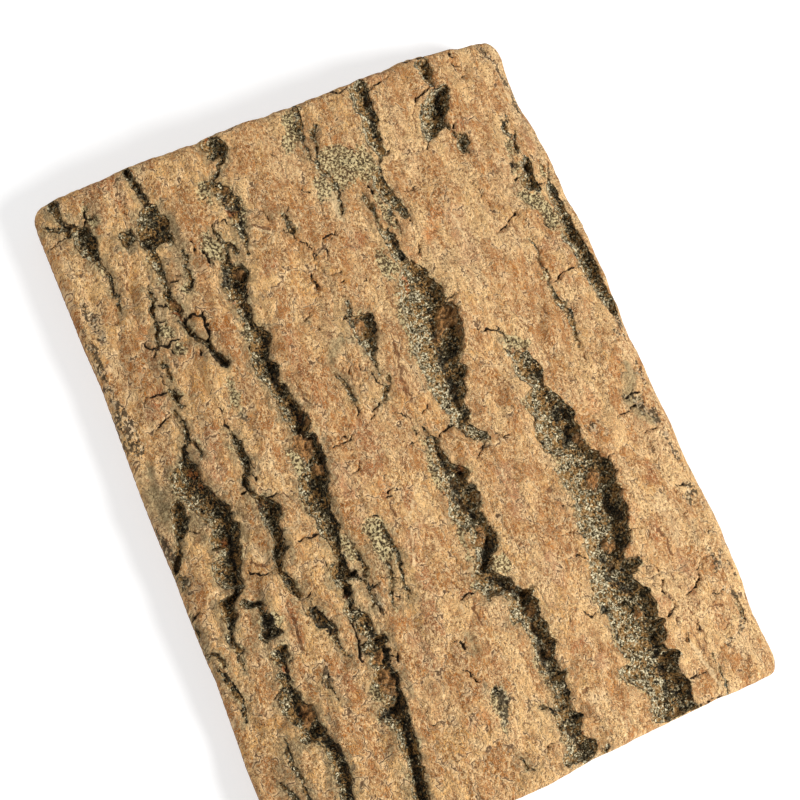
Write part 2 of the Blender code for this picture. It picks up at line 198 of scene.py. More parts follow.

# The deepest parts, black in the shade: the floors there are painted near-black as shade, and cut deeper
CORES = trace("""
52,203,5 56,204,4 60,213,3 64,224,3
85,225,2 88,232,3 92,238,3 95,245,3 98,251,3 100,257,3 99,261,3
74,240,2 77,249,2 83,255,2
125,171,6 129,178,3 134,182,4 138,187,3 142,194,4 147,202,5 146,206,5
144,208,2.5 139,213,2.5 137,220,2.5 136,227,2.5 136,234,2.5 136,240,2.5
141,243,6 150,248,6
152,213,2 151,222,2 156,226,2 158,234,2 160,240,2
168,225,2.5 170,233,2.5 168,240,2.5
166,275,3 168,287,3 170,296,3
204,343,3 212,350,4 218,358,5 226,366,4
222,158,4 224,164,4 218,168,4 218,174,4 212,179,3
222,198,3.5 227,205,3.5 232,212,3.5 236,218,3.5 240,226,3.5 243,234,3.5 246,241,3
235,205,2.5 240,212,2.5 243,222,2
224,268,7 225,283,9
231,276,2.5 236,269,2.5 242,268,2.5 247,273,2.5 246,280,2.5 238,281,2.5 232,277,2.5
236,285,8 245,288,6
240,303,3 243,310,4 248,318,3 252,325,2.5 257,333,2.5
263,338,2 267,342,4 268,350,4 268,358,4 268,361,5 273,366,8 273,372,8 275,379,7 277,386,6 280,391,4 284,397,3
292,403,5 296,409,6 299,415,6 302,424,5
288,428,3 295,430,3 303,434,4 308,438,3 314,436,3 318,443,4 317,450,4 320,456,4 323.5,461,4 324.6,467.7,4 327,476,4 327,481.5,4 326,488.5,4 327,495,3.5
312,484,6 315,492,4
328,509,4 332.7,518,3.5 335.6,524,3.5 335.6,532,3.5 337,538,3.5 341,548.5,3.5 342.5,556.5,3.5 346.5,564.6,3.5
326,519.6,7
350,574,6 356,572,5 361,574,5 366,579,5 370,585,4
346,590,8 350,600,7 353,607,4
370,617,3 373,624,3 374,632,3 371,638,3 381,639,3 386,636,2.5
386,648,8 387,656,10 386,664,7
390,672.7,3 397,679.6,5 399.6,688.8,5 401,697,5 402,706,8 396,712,11 386,715,8 380,719,6
404,724,8 410,745,8 415,765,9 420,790,9 426,820,8
366,95,6.5 369,104,6.5 372,111,6 372,118,6 373,124,5
378,130,5 380,140,6 381,148,6 383,154,5
381,168,3 383,176,3 387,184,4 391,190,4 396,195,4 400,201,4 404,208,4 408,215,4
392,236,4 397,246,6 401,254,6 405,260,6
425,311,5 432,312,5
430,322,4 434,328,5 433,335,5 436,342,5 440,350,5 442,358,6
444,361,6 450,358,7 455,353,7 459,346,5 462,340,3
440,362,7 446,372,8 452,384,9 454,396,9 458,404,7 464,410,9 466,416,7 463,424,4
462,370,4 466,368,4 463,378,4
478,437,2.5 484,439,2.5 489,437,3 490,434,2
437,92,4 437,105,4 440,112,4 446,120,4 448,126,3
423,108,2.5 423,122,2.5 426,134,2.5 428,142,2.5
461,140,3 464,147,4 467,152,2.5
526,166,4 526,173,3 532,176,3 537,184,3 541,190,3
550,186,5 555,193,6 558,200,5 563,205,5 567,213,4 571,222,4 574,232,4 580,238,4 584,247,4 590,257,4 595,265,4 598,275,4
556,237,3 565,240,4 572,245,4 575,258,3
580,262,2.5 585,270,3 590,280,3 597,293,3
512,355,4 518,354,3
530,358,3 534,364,4 538,372,4 541,380,5 542,387,4
562,410,9 568,418,7
567,428,9 569,437,10 567,444,8
550,402,6 556,414,6 558,424,5
600,473,3 599,482,4 594,487,4 589,493,3
605,500,8 612,508,12 620,515,9
610,480,5 613,477,4
625,541,8 622.5,549,6 622,558,4 622,570,3.5
604,560,9 612,566,9 608,575,7 618,583,8 626,590,10 632,596,7
621,604,5 632,600,4
604,609,5 611,621,3 624,654,3
651,620,5 656,624,5
653,637,8 656,645,9 657,653,8
660,641,4 664,648,4
662,668,8 665,680,10 666,692,9 666,705,7 667,718,6
659,660,5
681,672,4 690,685,5 691,697,5
421.5,421.5,4 425,428.5,5 429.6,435,5 435,440,5 439,450,6 442,461,6 444.6,466.5,6
446,472,6 450,480,7 454,488,9 456,497,9 461,505,8 467,511,8 474.6,519,9
460,472,7 463,480,4
488,545,12 486,553,11 486,562,12 484,570,9
486,577,6 493,581,9 500,584,9 509,589.6,9 519.6,594,9 528,596,5
523,603,8 525,609,9 527,613,4
536,600,4 539,608,4 538.5,617,4
533,620,5 532,627,6 536,634,6 539,641,7 541,650,8 543,660,8 546,666,7
551,641,6 555,643,5
552,650,3 551,659,3
545,664.6,4 552,678.5,4 554.6,690,4 556,701.5,4 558,709.6,5 564,722,5 572,736,5 579,747,6 586,756,5
566,672.7,4 566,682,5 567,692,6 569,700,5
576,718,6 583,713,4
185,448,3 184,457,4 183,466,4
190,452,2.5 192,460,3 196,468,3
200,481,3 211,485,3 220,497,3 228,504,3 231.5,510,3
218,513,5 224,518,4 229,522,5 229,530,6 230,540,6 231,550,5 236,554,4 241,556,3
238,537,2 239,544,2
232,556,4 233,562,5 235,570,6 236,580,6 238,588,6 237,595,5 235.6,603,4 234,612,4 233,624,5 231,630,5
188,516,3 187,526,3 184,535,3 180,540,5
177,560,6 176,570,6
232,636,3 230,644,5
241,650,5
239.6,634,2 246.5,637,2
248,604,4 256,604,4 262,606,4
266,619,8 268,627,9 266,635,7
283,650,4 284,660,5 287,667,5
288,675,5 290,678,4
289,681.5,4 291.5,695,4 297,706,5 302,716,5
305,730,6 314,732,5 322,728,5 325,738,5 332,746,6 338,752,6
344,765,6 350,785,6 356,810,6
306,742,4
231,434,2 237,439,3 242,446,3 246,455,3 249,463,4 247,471,5
243,480,3 244,487,5 252,493,4
258,500,4 262,507,5 266,514,4
272,501,2 278,504,2 280,510,2 275,513,2 271,508,2
281,530,3 281,538,4 276,541,3
276,548,4
287,582,4 293,590,3 298,598,3
312,603,3 310,613,3 318,622,3 326,627,3 333,633,3 338,642,3
319,608,3 322,614.6,3
345,316,2 350,316,2.5 356,316.5,2 360,315,2 366,315,3 370,317,3 374,318,3 375,326,3 376,334,3.5 375,342,3.5 376,350,3 374,358,3
350,318,2 350,326,2 353,333,2 358,340,2 361,344,3 364,350,3 368,356,3 372,362,3
196,630,4 200,637,4
""")

# Brown bark left standing in the furrows
ISLANDS = trace("""
170,300 177,303 183,308 181,311 175,308 171,305
222,188 228,187 231,192 227,196 221,194
234,270 244,270 245,279 238,281 233,278
441,307 448,302 454,306 457,316 459,325 450,328 445,332 440,338 436,334 437,322 437,314
455,325 462,325 464,333 460,337 455,333
436,336 440,334 442,342 438,346 433,342
190,444 194,445 198,452 200,458 198,465 193,460 190,452
571.5,434 578,432 583,437 586.5,444 580,448 574,444
589,471 596,470 601,475 599,484 594,492 588,489 586,480
601.5,541 608,540 615,543 614,551 608,554 602,550
352,320 358,318 364,319 366,328 364,336 358,338 354,331
376.5,651 381,650 385,656 383,664 378,666 374,660
381,670 388,671 395,680 398,692 396,698 388,697 381,688
633,609 638,607 642,612 640,618 634,618
475,525 480,524 483,534 484,544 478,544 476,535
302,416 308,414 310,420 309,426 304,424
300,706 308,704 316,712 317,720 310,728 302,726 304,716
311,463 318,461 324,468 325,476 318,478 312,472
293,437 302,433 310,437 314,446 313,456 306,462 297,455 292,446
236,603 239,603 239,618 236,620
523,606 531,604 535,610 532,616 526,616
545,645 549,645 550,655 546,656
""")

# Pale crumbly fringes, where the bank slopes into a furrow
FRINGES = trace("""
82,203 86,206 88,212 92,218 97,218 101,225 97,230 91,228 86,224 83,218 81,210
198,184 205,181 208,190 208,198 214,204 210,207 203,201 199,193
203,233 208,232 212,236 217,240 221,246 224,252 222,262 216,262 210,262 206,256 202,248 200,241
240,325 248,325 256,338 262,350 266,358 256,362 250,350 246,338
228,376 234,380 237,388 240,402 240,408 232,408 230,396 227,386
283,450 290,449 300,458 308,466 312,480 303,480 298,474 292,463
278,110 290,113 300,130 297,140 290,152 283,148 282,138 286,130
318,176 324,174 328,177 331,184 331,191 328,200 323,204 319,198 318,190 315,180
320,151 327,147 332,146 338,143 342,144 346,147 352,148 360,146 366,150 371,153 374,160 376,168 376,176 368,182 362,184 357,180 353,182 348,186 342,190 337,186 333,180 328,172 322,165 319,158
372,190 380,198 390,206 390,215 396,224 400,230 394,228 388,222 384,214 378,206
376,250 384,252 390,258 398,266 398,277 390,276 381,272 377,262
398,290 404,300 410,318 416,336 424,352 430,366 438,384 444,400 437,399 430,388 424,376 416,362 410,346 404,326 398,310
506,139 513,139 514,148 512,154 507,153 505,146
510,163 517,163 520,170 518,177 512,174
513,195 520,190 530,190 540,193 546,200 556,213 560,222 556,230 549,229 543,218 540,210 533,210 527,205 520,200
543,264 548,270 550,278 547,282 543,278 541,270
502,340 508,337 518,336 528,340 530,345 526,350 512,349 503,348
524,398 532,402 538,412 545,428 552,446 560,460 572,478 580,495 590,515 596,535 598,545 588,541 580,531 577,520 576,510 574,500 568,490 562,484 558,474 560,462 548,452 540,440 536,428 534,416 527,410
592,577 600,580 610,596 620,610 630,625 640,640 650,655 655,670 658,690 660,710 655,722 650,712 646,696 638,688 620,680 618,670 630,664 622,654 615,645 612,630 606,616 600,608 596,598 592,590
429,466 437,467 444,480 447,492 440,494 433,486 430,476
420,438 426,442 431,455 434,466 430,468 427,456 423,446
470,480 476,484 480,500 486,520 490,527 480,520 474,508 470,492
452,515 460,524 466,538 470,550 474,562 468,560 462,546 456,530
492,556 505,555 510,560 513,567 510,573 505,576 495,574 491,565
510,606 516,610 520,622 516,624 511,617
533,645 538,648 540,662 545,675 550,688 543,680 537,668 533,656
470,583 478,582 480,590 473,592
367,681 374,680 382,686 386,698 376,702 369,694
364,521 371,516 380,517 386,526 389,532 391.5,543 395,552 392,560 380,560 375,552 370,542 364,537 360,531 361,523
336,530 345,536 352,546 358,556 352,560 346,552 340,542
274,612 282,618 284,628 276,626 272,618
171,480 180,478 190,488 190,504 180,500 174,492
540,165 546,168 546,178 541,174
620,560 632,558 641,562 638,572 630,570 624,566
488,690 498,686 506,694 509,712 508,724 507,736 502,732 498,714 490,702
279,684 286,684 290,694 284,699 280,692
240,196 246,210 249,232 245,228 241,212
160,325 167,322 175,330 176,340 166,342 160,336
172,342 182,343 186,350 182,358 174,356
180,284 190,284 190,292 182,292
""")

# Bands of dark specks near the edges: x, y and width
SPECKS = trace("""
81,301,6 86,312,7 92,322,7 98,331,7 103,338,6
83,330,3 84,338,3
87,348,5 92,350,8 98,358,10 99,366,11 97,373,8 104,378,6
106,390,8 110,396,6
118,405,10 125,420,12 132,438,16 140,450,12
110,415,5 120,440,5 128,456,4
150,530,14 160,545,16 170,556,10
480,48,8 485,55,10 489,58,5
492,60,4 495,66,5 500,74,5 505,83,5 510,90,4 514,97,4 516,104,6 519,111,4
617,333,8 624,337,5
635,362,5 640,372,6 645,382,5
624,398,6 632,394,6 640,402,10 644,410,8
652,412,9 657,422,8
664,434,5 670,442,5 674,450,6 679,458,5
684,482,5 690,486,8 693,492,7 687,497,7 690,505,6
704,531,4 712,533,4
708,547,6 712,553,7 717,560,7 716,570,7 720,552,5
727,559,3 731,568,3 735,576,3
724,590,4 732,592,4 738,598,4
742,622,4 740,630,4 734,636,4 728,643,4
602,292,8 610,304,8 614,314,7 620,326,5
213,663,5 219,668,4
184,580,6 188,592,6
242,414,4 246,418,4
591,426,8 597,430,5
384,290,7
486,137,3
415,430,6
601,641,7
325,660,4 327,683,9
376,598,6 380,606,6 384,614,4
497,690,8 503,700,9 505,712,8 505,724,6
""")

# Cracks: x, y and width
CRACKS = trace("""
68,239,1.5 62,240,1.5 58,243,1.5 54,247,1.5 51,250,1.5 47,252,1
119,320,1 115,326,1
84,211,2 86,220,2 84,228,2
86,219,1.5 92,220,1.5 95,218,1.5
121,211,1 127,215,1.2 133,217,1
139,184,1 149,199,1
174,276,1.5 180,277,1.5 184,276,1.5
168,284,1.5 172,282,1.5 177,281,1.5
189,240,1.5 192,246,1.5 195,251,1.5
148,285,1.5 148,291,1.5
157,306,1.5 162,306,1.5 168,307,1.5 172,310,1.5
158,321,1 164,320,1
187,317,3 192,315,3 197,315,3 203,314,3 204,320,3 207,326,3 208,334,3 207,341,3
186,320,3 187,328,3 192,334,4 197,338,4
200,352,3 202,357,3
144,344,1.5 148,348,2 152,349,2 155,347,2 160,346,2.5 165,347,2 169,345,2 172,342,2 176,341,2 180,340,1.5
155,357,1.5 156,352,1.5 160,349,1.5
169,346,2 171,350,2 173,354,2
160,376,1.5 162,380,1.5 166,386,1.5 169,391,1.5
172,389,1.5 176,394,1.5 181,400,1.5 186,408,1.5
182,420,2 185,426,2 187,433,2 188,441,2
157,430,1.5 161,425,2 166,421,2 170,418,1.5
143,404,1.5 146,399,1.5 152,397,1.5 160,395,1.5 167,392,1.5
215,403,1.2 221,406,1.5 224,410,2 223,416,1.5 224,422,2 227,428,2.5
254,468,1.5 251,463,1.5
241,479,2 244,474,2 249,475,2 252,474,2 255,476,2 256,481,1.5
242,494,1.5 246.5,491,1.5
267,497,1.5 272,497,1.5 276,494,1.5 279,495,1
248,571,1 251,573,2 257,574,2.5 263,575,2 270,574,1
212,224,1.2 216,222,1.2 222,219,1.2 227,222,1.2 230,228,1.2
212,224,2 213,232,2 217,237,2
203,250,2 207,256,2 211,262,2
261,209,1.5 265,213,1.5 269,219,1.5
261,209,1 256,214,1 252,218,1
270,153,1 278,157,1
300,190,1.5 310,192,1.5
284,212,1 290,205,1
283,231,2 290,231,2 295,230,1.5
293,233,1.5 296,238,2 300,242,2 306,243,2 311,250,2 315,254,2
314,255,1.2 316,262,1.2 320,268,1.2 325,273,1.2 329,276,1.2 336,275,1.2 342,271,1.2
322,240,1.5 327,237,1.5 332,234,1.5 337,233,1.5
331,238,1 328,245,1 325,249,1 316,250,1
326,249,1.5 328,258,1.5
311,273,1.8 312,278,2 316,282,2 319,286,3 322,289,3
340,282,1.5 344,280,1.5
364,272,1.2 366,277,1.5 367,281,1.2
366,281,1 364,287,1
300,310,1.5 303,315,1.5 304,319,2 309,316,1.5 311,313,1.2
318,323,1.5 321,327,1.5 324,332,1
341,358,1.2 345,364,1.4 348,367,1.4 352,375,1.2 355,380,1.2
358,366,1.2 361,370,1.4 363,377,1.4 363,381,1.2
357,378,1.5 360,384,1.5 361,388,1.5
353,401,2 356,407,2 359,413,2 357,417,1.5
372,372,1.5 374,377,1.8 377,382,1.8 382,385,1.5 386,385,1.5
385,400,1.5 380,404,1.5 375,408,1.2 371,413,1
344,319,1.5 347,316,2
388,76,1.5 380,83,1.5 373,88,1.5 369,90,1
330,92,2 338,93,2 342,91,2 348,86,2
385,154,2 389,152,2 391,149,1.5
366,186,2 370,188,2 373,194,2
405,190,1.5 411,189,1.5 417,186,1.5
401,193,1 405,203,1 409,208,1
410,218,1.2 412,223,1.2
418,241,2 420,247,2 420,252,2 422,256,2
420,240,1.2 425,241,1.2
403,62,1.5 408,64,1.5 413,67,1.5
447,51.5,1.5 450,58,1.8 453.8,57,1.5
450,63,1.5 453.8,66.5,2 458.5,67.7,2
458.5,75.8,1.2 460.8,79,1.6 464,76,1.2
462,90,1.5 465,89.6,1.5 467.7,88.5,1.2
470,182,1.8 474,184,2 479,189,2 482,196,1.8 484,200,1.8 488,204,1.8 492,208,1.8 494,211,1.5
469,177,1 473.5,172.7,1
415,101,2.5 418,98,2.5 424,94,2.5 430,90,2
428,80,2 432,86,2 435,89,2
429,142,2 427,149,2
454,127.7,3 455,126,3
440,118,2 447,125,2 451.5,133.5,2 457,137,2.5
468.8,152,2 470,154,2
510,163.5,2 512.7,168,2 516,167.5,2
516,179.6,2.5 519.6,178,2.5
540,184,1.5 546,182,1.5
501,195,1 504,190,1 508,186,1
496,233,1 500,230,1.6 504,229,2 507,226,1.8 508,221,1.8 511,218,2 514,215,2 517,214,1.5
543,222,2 546,226,2 549,229,2
549,282,1.6 555,281,1.6 560,276,1.5 565,272,1.6 570,269,1.6 576,266,1
600,288,2 606,292,2
478,329,1.2 484,329,1.6 490,330,2 498,330,2 500,331,2
496,325,1 500,329,1.5
505,349,2 513,352,2
475,363,1 486,364,1.2
489,372,1 499,376,1.2
441,307,1.6 445,302,1.6 449,299,1.6 454,295,1.5
452.7,423.5,2.5 447,428,2.5 442,432.7,2 439,437,1.8
452.7,423.5,2 460.8,428,1.5 466.5,432.7,1.5 474.6,438.5,1.5
495,434,1.2 503.5,435,1.4 508,436,1.4 511.5,434,1
483,446,2 486,444,2
479,449,1.2 487,447.7,1.2 491,446.5,1.2
477,458,1.2 480,454.6,1.5 482.7,451,1.2
421,412,1.5 423,410,1.5 430,404,1.2
402,447,1 410,443.5,1.2 418,440,1.2 421.5,439,1
413,427,2 415,432,2 418,435,1.5
388,383,2 386,390,2
393,414,1.2 401,412,1.4 406.5,415.8,1.6 412,419.8,1.2
334,447,1.5 339.6,445,1.6 346.5,442,1.6 351,439,1.6 353,433,1.5
336,441.7,1.2 342,439,1.2 346.5,435,1.2
360.5,463,1.5 359,470,1.5
351.7,475,1 358,470,1.2
371,420,1.2 375,414.6,1.2
393,485.6,1.5 390,492,1.6 391.5,495,1.5 387,499,1.5
396,488.5,1.4 399,491,1.4
368.5,519.6,1.2 372,515.6,1.2 379,516,1.2
300,540,1.4 311,537,1.6 318,534.6,1.4
315,519.6,1.5 319,529,2 321,532,2 328,538,2 331.5,542.7,2
321,556,1.4 325,562,1.4 329,568,1.4
304,441,2 301.5,449,2
314,450,2.5 315,459,2.5 311,462,2 309,463.6,2
380,576,1.5 389,576,1.5 398.5,576,1.5 402,579.6,1.5
395,594.8,1.2 402,599.4,1.2
365,586,1.8 371,588.5,1.8
372,587,1.5 380,584,1.5
374,602,1.5 378.8,605.8,1.8 382,612.7,1.8 384,616,1.2
305,598.5,1.2 310,591.5,1.2
351.5,622.7,1.6 356,630.8,2 358.5,644.6,3 359.6,653.8,3 363,662,2
275,698,1.6 282,690.8,2 288,686,2
289,663,1.5 293,659,1.5
330,673,1.8 329.5,679,1.8
397,654,2.5 398,660,2.5
391,655,1.5 396,656,1.5
460,600.6,1.5 465,596.5,1.8 472,593,1.8 475.8,592,1.5
460,640,2 463,644,2.5 466.5,648,2.5
451.5,639,1.2 457,644,1.2
458.5,668,1.2 466.5,670.4,1.4 471,675,1.6 477,679.6,1.6 479.8,685.4,1.2
575,557,1.6 578.8,555.6,2 583.5,556.7,2 588,558.5,2
562,535,1 570,533,1.2 579.6,531,1.2
562,507.7,1 567,504,1.2 571.5,505,1.2
581,609,1 585.8,613.8,1.2 592.7,616,1.2 596,611.5,1
617,418.8,1.5 619,416,1.6 625,413,1.6 630,410.8,1.6 635,406,2 637,403.8,2
623.8,399,1.6 628.5,395.8,2 632,393.5,2 635.4,393,2.2 638.8,391,1.6
644.6,434,1.2 650,430,1.8 658.5,427,2
649,437,1.2 650,444,1.5 653.8,451,1.2
613.5,343.8,1 619,342,1
674.6,486,1 683.8,483,1.5
613.5,453.5,1.5 607.7,459,1.8 603,464,1.5
618,469.6,1.5 613.5,474,1.8
622.7,488,1.5 619,492.7,2.5 612,495,2.5 608.8,497,2
630,531,1.5 636,528,1.2 642,526.5,1
658,570.4,1.2 660.4,575,1.6 664.4,580.8,1.8 662.7,586.5,1.8 662.7,592,1.8 669.6,598,1.8 674,602.7,2 675,606,2 672,612,1.8 668,615.4,1.5
651,585,1.2 658,584,1.4 663.8,586.5,1.4
677.7,616.5,1.4 679.4,624.6,1.4
684.6,597,1 689,593.5,2.2 695,586.5,2 698.5,582,2 700,577,1.5 700,572.7,1
697,569,1.4 700,565,1 705,559,2 707.7,557,2
699.6,623.5,1.4 699.6,629,1.4
688,631.5,1.4 689,638.5,1.6 691.5,642,1.6
712,596,1.2 718,593,1.4 724,590.6,1.6
690,679,1.5 700,674,1.5 709,669,1.5
699,706,1.4 710,701,1.4 722,696,1.4
547,747,1 554,743,1 561,739,1
188,530.5,1.5 196,531,1.6 202,531.5,1.4
429.6,727,1 434,724.6,1.2 440,720,1
194.6,621,2 197,617,2 200,613.5,1.5
""")

# Thin brown lines and pale lines on the plates: x, y, width and tone (1 pale, 0 brown)
LINES = trace("""
241,236,2,1 245,231,2,1 255,229,2,1 266,230,2,1 272,235,2,1 275,241,2,1 268,246,2,1 262,250,2,1 252,247,2,1 246,243,2,1 241,236,2,1
240,228,2,0 250,226,2,0 262,227,2,0 270,228,2,0
330,184,5,1 332,192,6,1 334,200,7,1 336,208,6,1 340,216,5,1 345,222,3,1
395,345,1.5,0 397,356,1.5,0 399,367,1.5,0 401,377,1.5,0 404,387,1.5,0 408,397,1.5,0 414,408,1.2,0
303,397,2,0 306,402,2,0 310,408,2,0
292,375,2,0 296,383,2,0 300,390,2,0 304,398,2,0 311,405,2,0
297,305,1.5,1 301,311,1.5,1 304,317,1.5,1
511,220,1.2,0 512,226,1.2,0 515,231,1.2,0 518,238,1.2,0
466,268,1.2,0 472,274,1.2,0 475,277,1.2,0
520,320,1.5,0 525,325,1.5,0 528,328,1.5,0
504,304,1.2,0 510,299,1.2,0 515,295,1.2,0
447,93,2,0 451,98,2,0 452,106,2,0 452,112,2,0
417,101,2,0 414,108,2,0 414,114,2,0 415,122,2,0 416,130,1.5,0
391,333,1.2,0 397,349,1.2,0 403,375,1.2,0 411,398,1.2,0 418,410,1.2,0
403,408,1.2,0 409,417,1.2,0 414,430,1.2,0
508,366,1.6,1 502,381,1.6,1
417,484,2,1 414.6,493,2,1 413.5,506,2,1 410,514,2,1 411,519.6,2,1
403,517,1.5,1 411,526.5,1.8,1 412,540,1.8,1 412,551,1.8,1 414.6,563.5,1.8,1 421.5,575,1.8,1 428.5,585,1.5,1
389,501,2.5,0 392.7,510,2.5,0 397,517,2.5,0
518.5,551.5,1.5,0 519.6,545.8,1.5,0 522.5,543.5,1.5,0
530,517,1.2,0 535.8,528.5,1.4,0 543.8,543.5,1.4,0 545.6,548,1.2,0
520.8,493.8,1.4,0 528.8,510,1.4,0 531,518,1.4,0
543.8,500.8,1.2,0 547,512,1.2,0
500.6,468.5,1.5,1 504.6,478.8,1.5,1
546.7,485.8,1.2,0 550.8,483.5,1.2,0 553,487,1.2,0 548.5,491.5,1.2,0 546.7,496,1.2,0
590,353,1.5,0 592.7,356.5,1.5,0 597,364.6,1.5,0 600,378,1.2,0 601,392,1.2,0
583.5,352,2,0 587,361,2,0
551,352,1.5,0 558,361,1.5,0 562.7,368,1.5,0
630.8,493.8,1.4,0 633,490,1.4,0 637.7,491.5,1.4,0 638.8,495,1.4,0
267,549,2,1 267,556,2,1 263,562,2,1 256,559,2,1 251,553,1.5,1
250,561.5,3,0 257,566,3,0 268,565,3,0
285,505,2,1 293,507,2,1 298,516,2,1 299,526,2,1 294,533,2,1 286,532,1.5,1
252,528.6,1.3,0 255,527,1.3,0 259,524.6,1.3,0
262,470,2,1 271,468,2,1 280,474,2,1 285,484,2,1 284,492,2,1
291,614,3,0 296,625,3,0 300,640,3,0 305,650,3,0
474.6,603.5,2.5,0 475.8,612.7,2.5,0 479,620.8,2.5,0 482.7,625.4,2.5,0
459.6,603.5,1.4,1 465,616,1.4,1
481.5,638,1.5,1 493,639,1.5,1 500,638,1.5,1
582,693.5,1.5,0 588,687.7,1.5,0 592,684.8,1.5,0
656,566.5,1.5,0 660.8,573.5,1.5,0
666,567,1.6,0 672,576,1.6,0 677.7,584,1.6,0 682,590,1.6,0
670.8,512.7,1.5,0 677.7,525,1.5,0 682,534.6,1.5,0
659,530,2.5,0 665,539,2.5,0 669.6,549.6,2.5,0 675,557.7,2.5,0
689,608.5,2,0 696,617.7,2,0 700.8,630,2,0 708.8,643,2,0
691,640,3,1 700,655,4,1 712,674,4,1 722,690,3,1
706,612,1.6,0 712,605,1.6,0 722,604,1.6,0 729,612,1.6,0 730,622,1.6,0 724,629,1.6,0
712,618,1.5,1 716,612,1.5,1 722,612,1.5,1 725,619,1.5,1
541,306,1.5,0 547,314,1.5,0 552,320,1.3,0
452,214,1.5,1 458,224,1.5,1 464,234,1.5,1 468,243,1.5,1
232,545,1.5,1 233,550,1.5,1
330,410,1.5,1 322,421,1.8,1 318,433,1.8,1 322,447,1.5,1
280,543,2,1 285,542.5,2,1
354.6,434,1.2,0 361.5,435,1.2,0 368.5,435,1.2,0
665,585,1.4,0 690,625,1.4,0 710,665,1.4,0 727,690,1.4,0
280,385,1.5,0 288,400,1.5,0 296,414,1.2,0
120,275,1.4,0 128,290,1.4,0 134,308,1.2,0
520,400,1.3,0 516,420,1.3,0 514,440,1.1,0
""")

# Stains on the plates, and painted highlights along the slab's edges, as soft ribbons: x, y and width
STAINS_AND_EDGE_HIGHLIGHTS = {
    "rust": trace("""
    158,398,20 160,410,24 155,416,16
    125,202,14 119,200,12
    360,236,16 352,244,14
    268,268,14 276,262,10
    340,676,18 343,690,20
    362,425,20 368,445,26 372,462,26 368,474,16
    290,335,14 296,352,12 302,372,10
    466,594,10 461,592,8
    345,86,10 362,80,12 378,76,10
    84,190,12 102,184,16 120,182,14
    288,606,12 294,626,12 301,645,12
    562,272,8 568,282,12
    552,266,4 559,264,4
    514,309,4 517,315,4 515,320,3
    654,528,9 656,540,9
    648,466,10 653,478,10
    692,588,6 698,604,6
    416,560,10 422,575,14 430,588,14
    430,610,16 438,630,14
    408,492,12 408,505,10
    472,725,12
    582,640,10 575,652,8
    402,392,8 396,370,8
    210,435,16 215,445,14
    455,130,8 466,120,8
    662,600,12 670,610,8
    """),
    "orange": trace("""
    190,474,6 197,476,6
    202,487,5
    216,494,5
    405,278,5 407,289,5
    423,420,5 427,426,4
    262,503,4
    236,215,4 226,214,4
    205,140,4
    304,146,4
    305,715,8 312,718,6
    346,598,4
    285,669,4
    380,657,7
    638,614,6
    183,320,4 175,313,4
    314,382,12 318,400,14
    385,492,14 382,478,10
    480,716,14 488,724,12
    718,610,16 722,624,14
    635,506,8 633,520,8
    225,543,6
    438,205,14 432,225,14 428,240,10
    410,250,8 416,258,8
    232,305,6
    300,418,6
    595,408,16 588,392,12
    618,360,10 616,372,8
    460,470,8 466,452,8
    140,330,14 150,345,12
    590,478,6 597,486,6
    """),
    "lichen": trace("""
    150,486,12 158,500,18 164,515,14
    626,365,8 632,375,12 626,395,12 640,412,14 652,420,12
    468,634,6 473,645,9 476,653,7
    412,430,7
    376,530,14 384,545,14
    530,200,12 545,208,12 552,222,10
    288,118,8 292,130,8
    344,160,14 360,164,16
    176,348,8
    306,322,6
    640,400,8
    502,338,8 518,342,10
    215,250,14
    148,462,6 151,478,6
    388,268,10
    234,396,8
    330,360,10 340,340,12
    242,414,5
    610,300,8
    """),
    # cream: pale patches; the first row, on the left shoulder, and the long row along the right edge are painted
    # highlight where the edges turn to the lamps
    "cream": trace("""
    62,258,6 80,290,7 100,330,8 120,380,8 135,400,6
    330,184,6 334,200,8 340,216,6
    265,458,10 272,470,10
    252,440,8
    254,548,10 260,556,8
    536,652,5 538,664,5
    494,700,8 490,694,6
    560,468,6 552,462,10 545,456,10
    660,500,16 670,520,14 678,540,12
    640,660,14 636,672,14
    500,362,6 504,375,6
    548,170,8
    570,235,6
    576,252,5
    608,547,12
    610,340,8
    690,520,10 695,540,10
    740,640,16 755,655,10
    585,290,12
    650,395,6
    492,45,8 515,110,8 535,140,8 555,180,6 590,240,6 615,295,6 640,352,6 662,400,6 690,460,8 715,515,8
    255,505,8
    150,424,5 147,412,4 155,424,6
    598,705,10 590,695,8
    110,350,8 120,365,8
    476,745,10
    250,700,8 240,690,8
    296,572,8
    """),
    "pink": trace("""
    455,215,24 462,235,24 470,255,20
    200,448,22 215,470,22
    340,470,18 350,490,18
    505,470,16 512,490,16 520,510,18
    360,520,14
    550,560,16 558,580,16
    680,560,16 690,575,14
    565,240,8 545,245,12
    520,120,12 535,150,10
    420,520,10 408,545,12
    415,640,18 430,660,18
    150,405,12
    130,430,12
    600,660,16
    """),
    "olive": trace("""
    184,458,16 180,480,34 186,505,40 198,528,28
    186,470,12 190,500,12
    240,505,14 246,540,12
    158,228,14 172,236,10
    82,238,12 92,252,10
    238,262,8 246,300,8
    205,186,8 212,196,8
    370,545,14 384,570,12
    318,735,16
    """),
    "ash": trace("""
    95,205,14 100,222,10
    126,236,10
    168,214,10 180,250,22 188,290,20 184,330,16
    160,300,14 166,330,20 178,350,16
    205,236,12 214,256,12
    232,384,8 237,402,8
    300,455,20 300,475,16
    345,560,16 352,580,14
    372,595,14 380,612,12
    150,545,10 166,560,10
    150,478,22 158,505,32 168,535,28
    228,605,12 232,640,14
    262,650,16 285,660,14 285,685,14
    300,745,14
    368,690,14 376,700,10
    225,270,8 232,300,8
    515,185,10 525,200,12
    288,120,10
    338,160,14
    """),
    "dusk": trace("""
    165,440,10 168,455,10
    150,350,12 157,368,10
    378,455,14
    245,385,12 250,400,12
    468,640,6
    425,597,8 432,692,10
    455,650,14 462,665,12
    300,395,8 308,404,8
    348,380,12
    480,600,5
    668,560,10 672,580,8
    """),
}
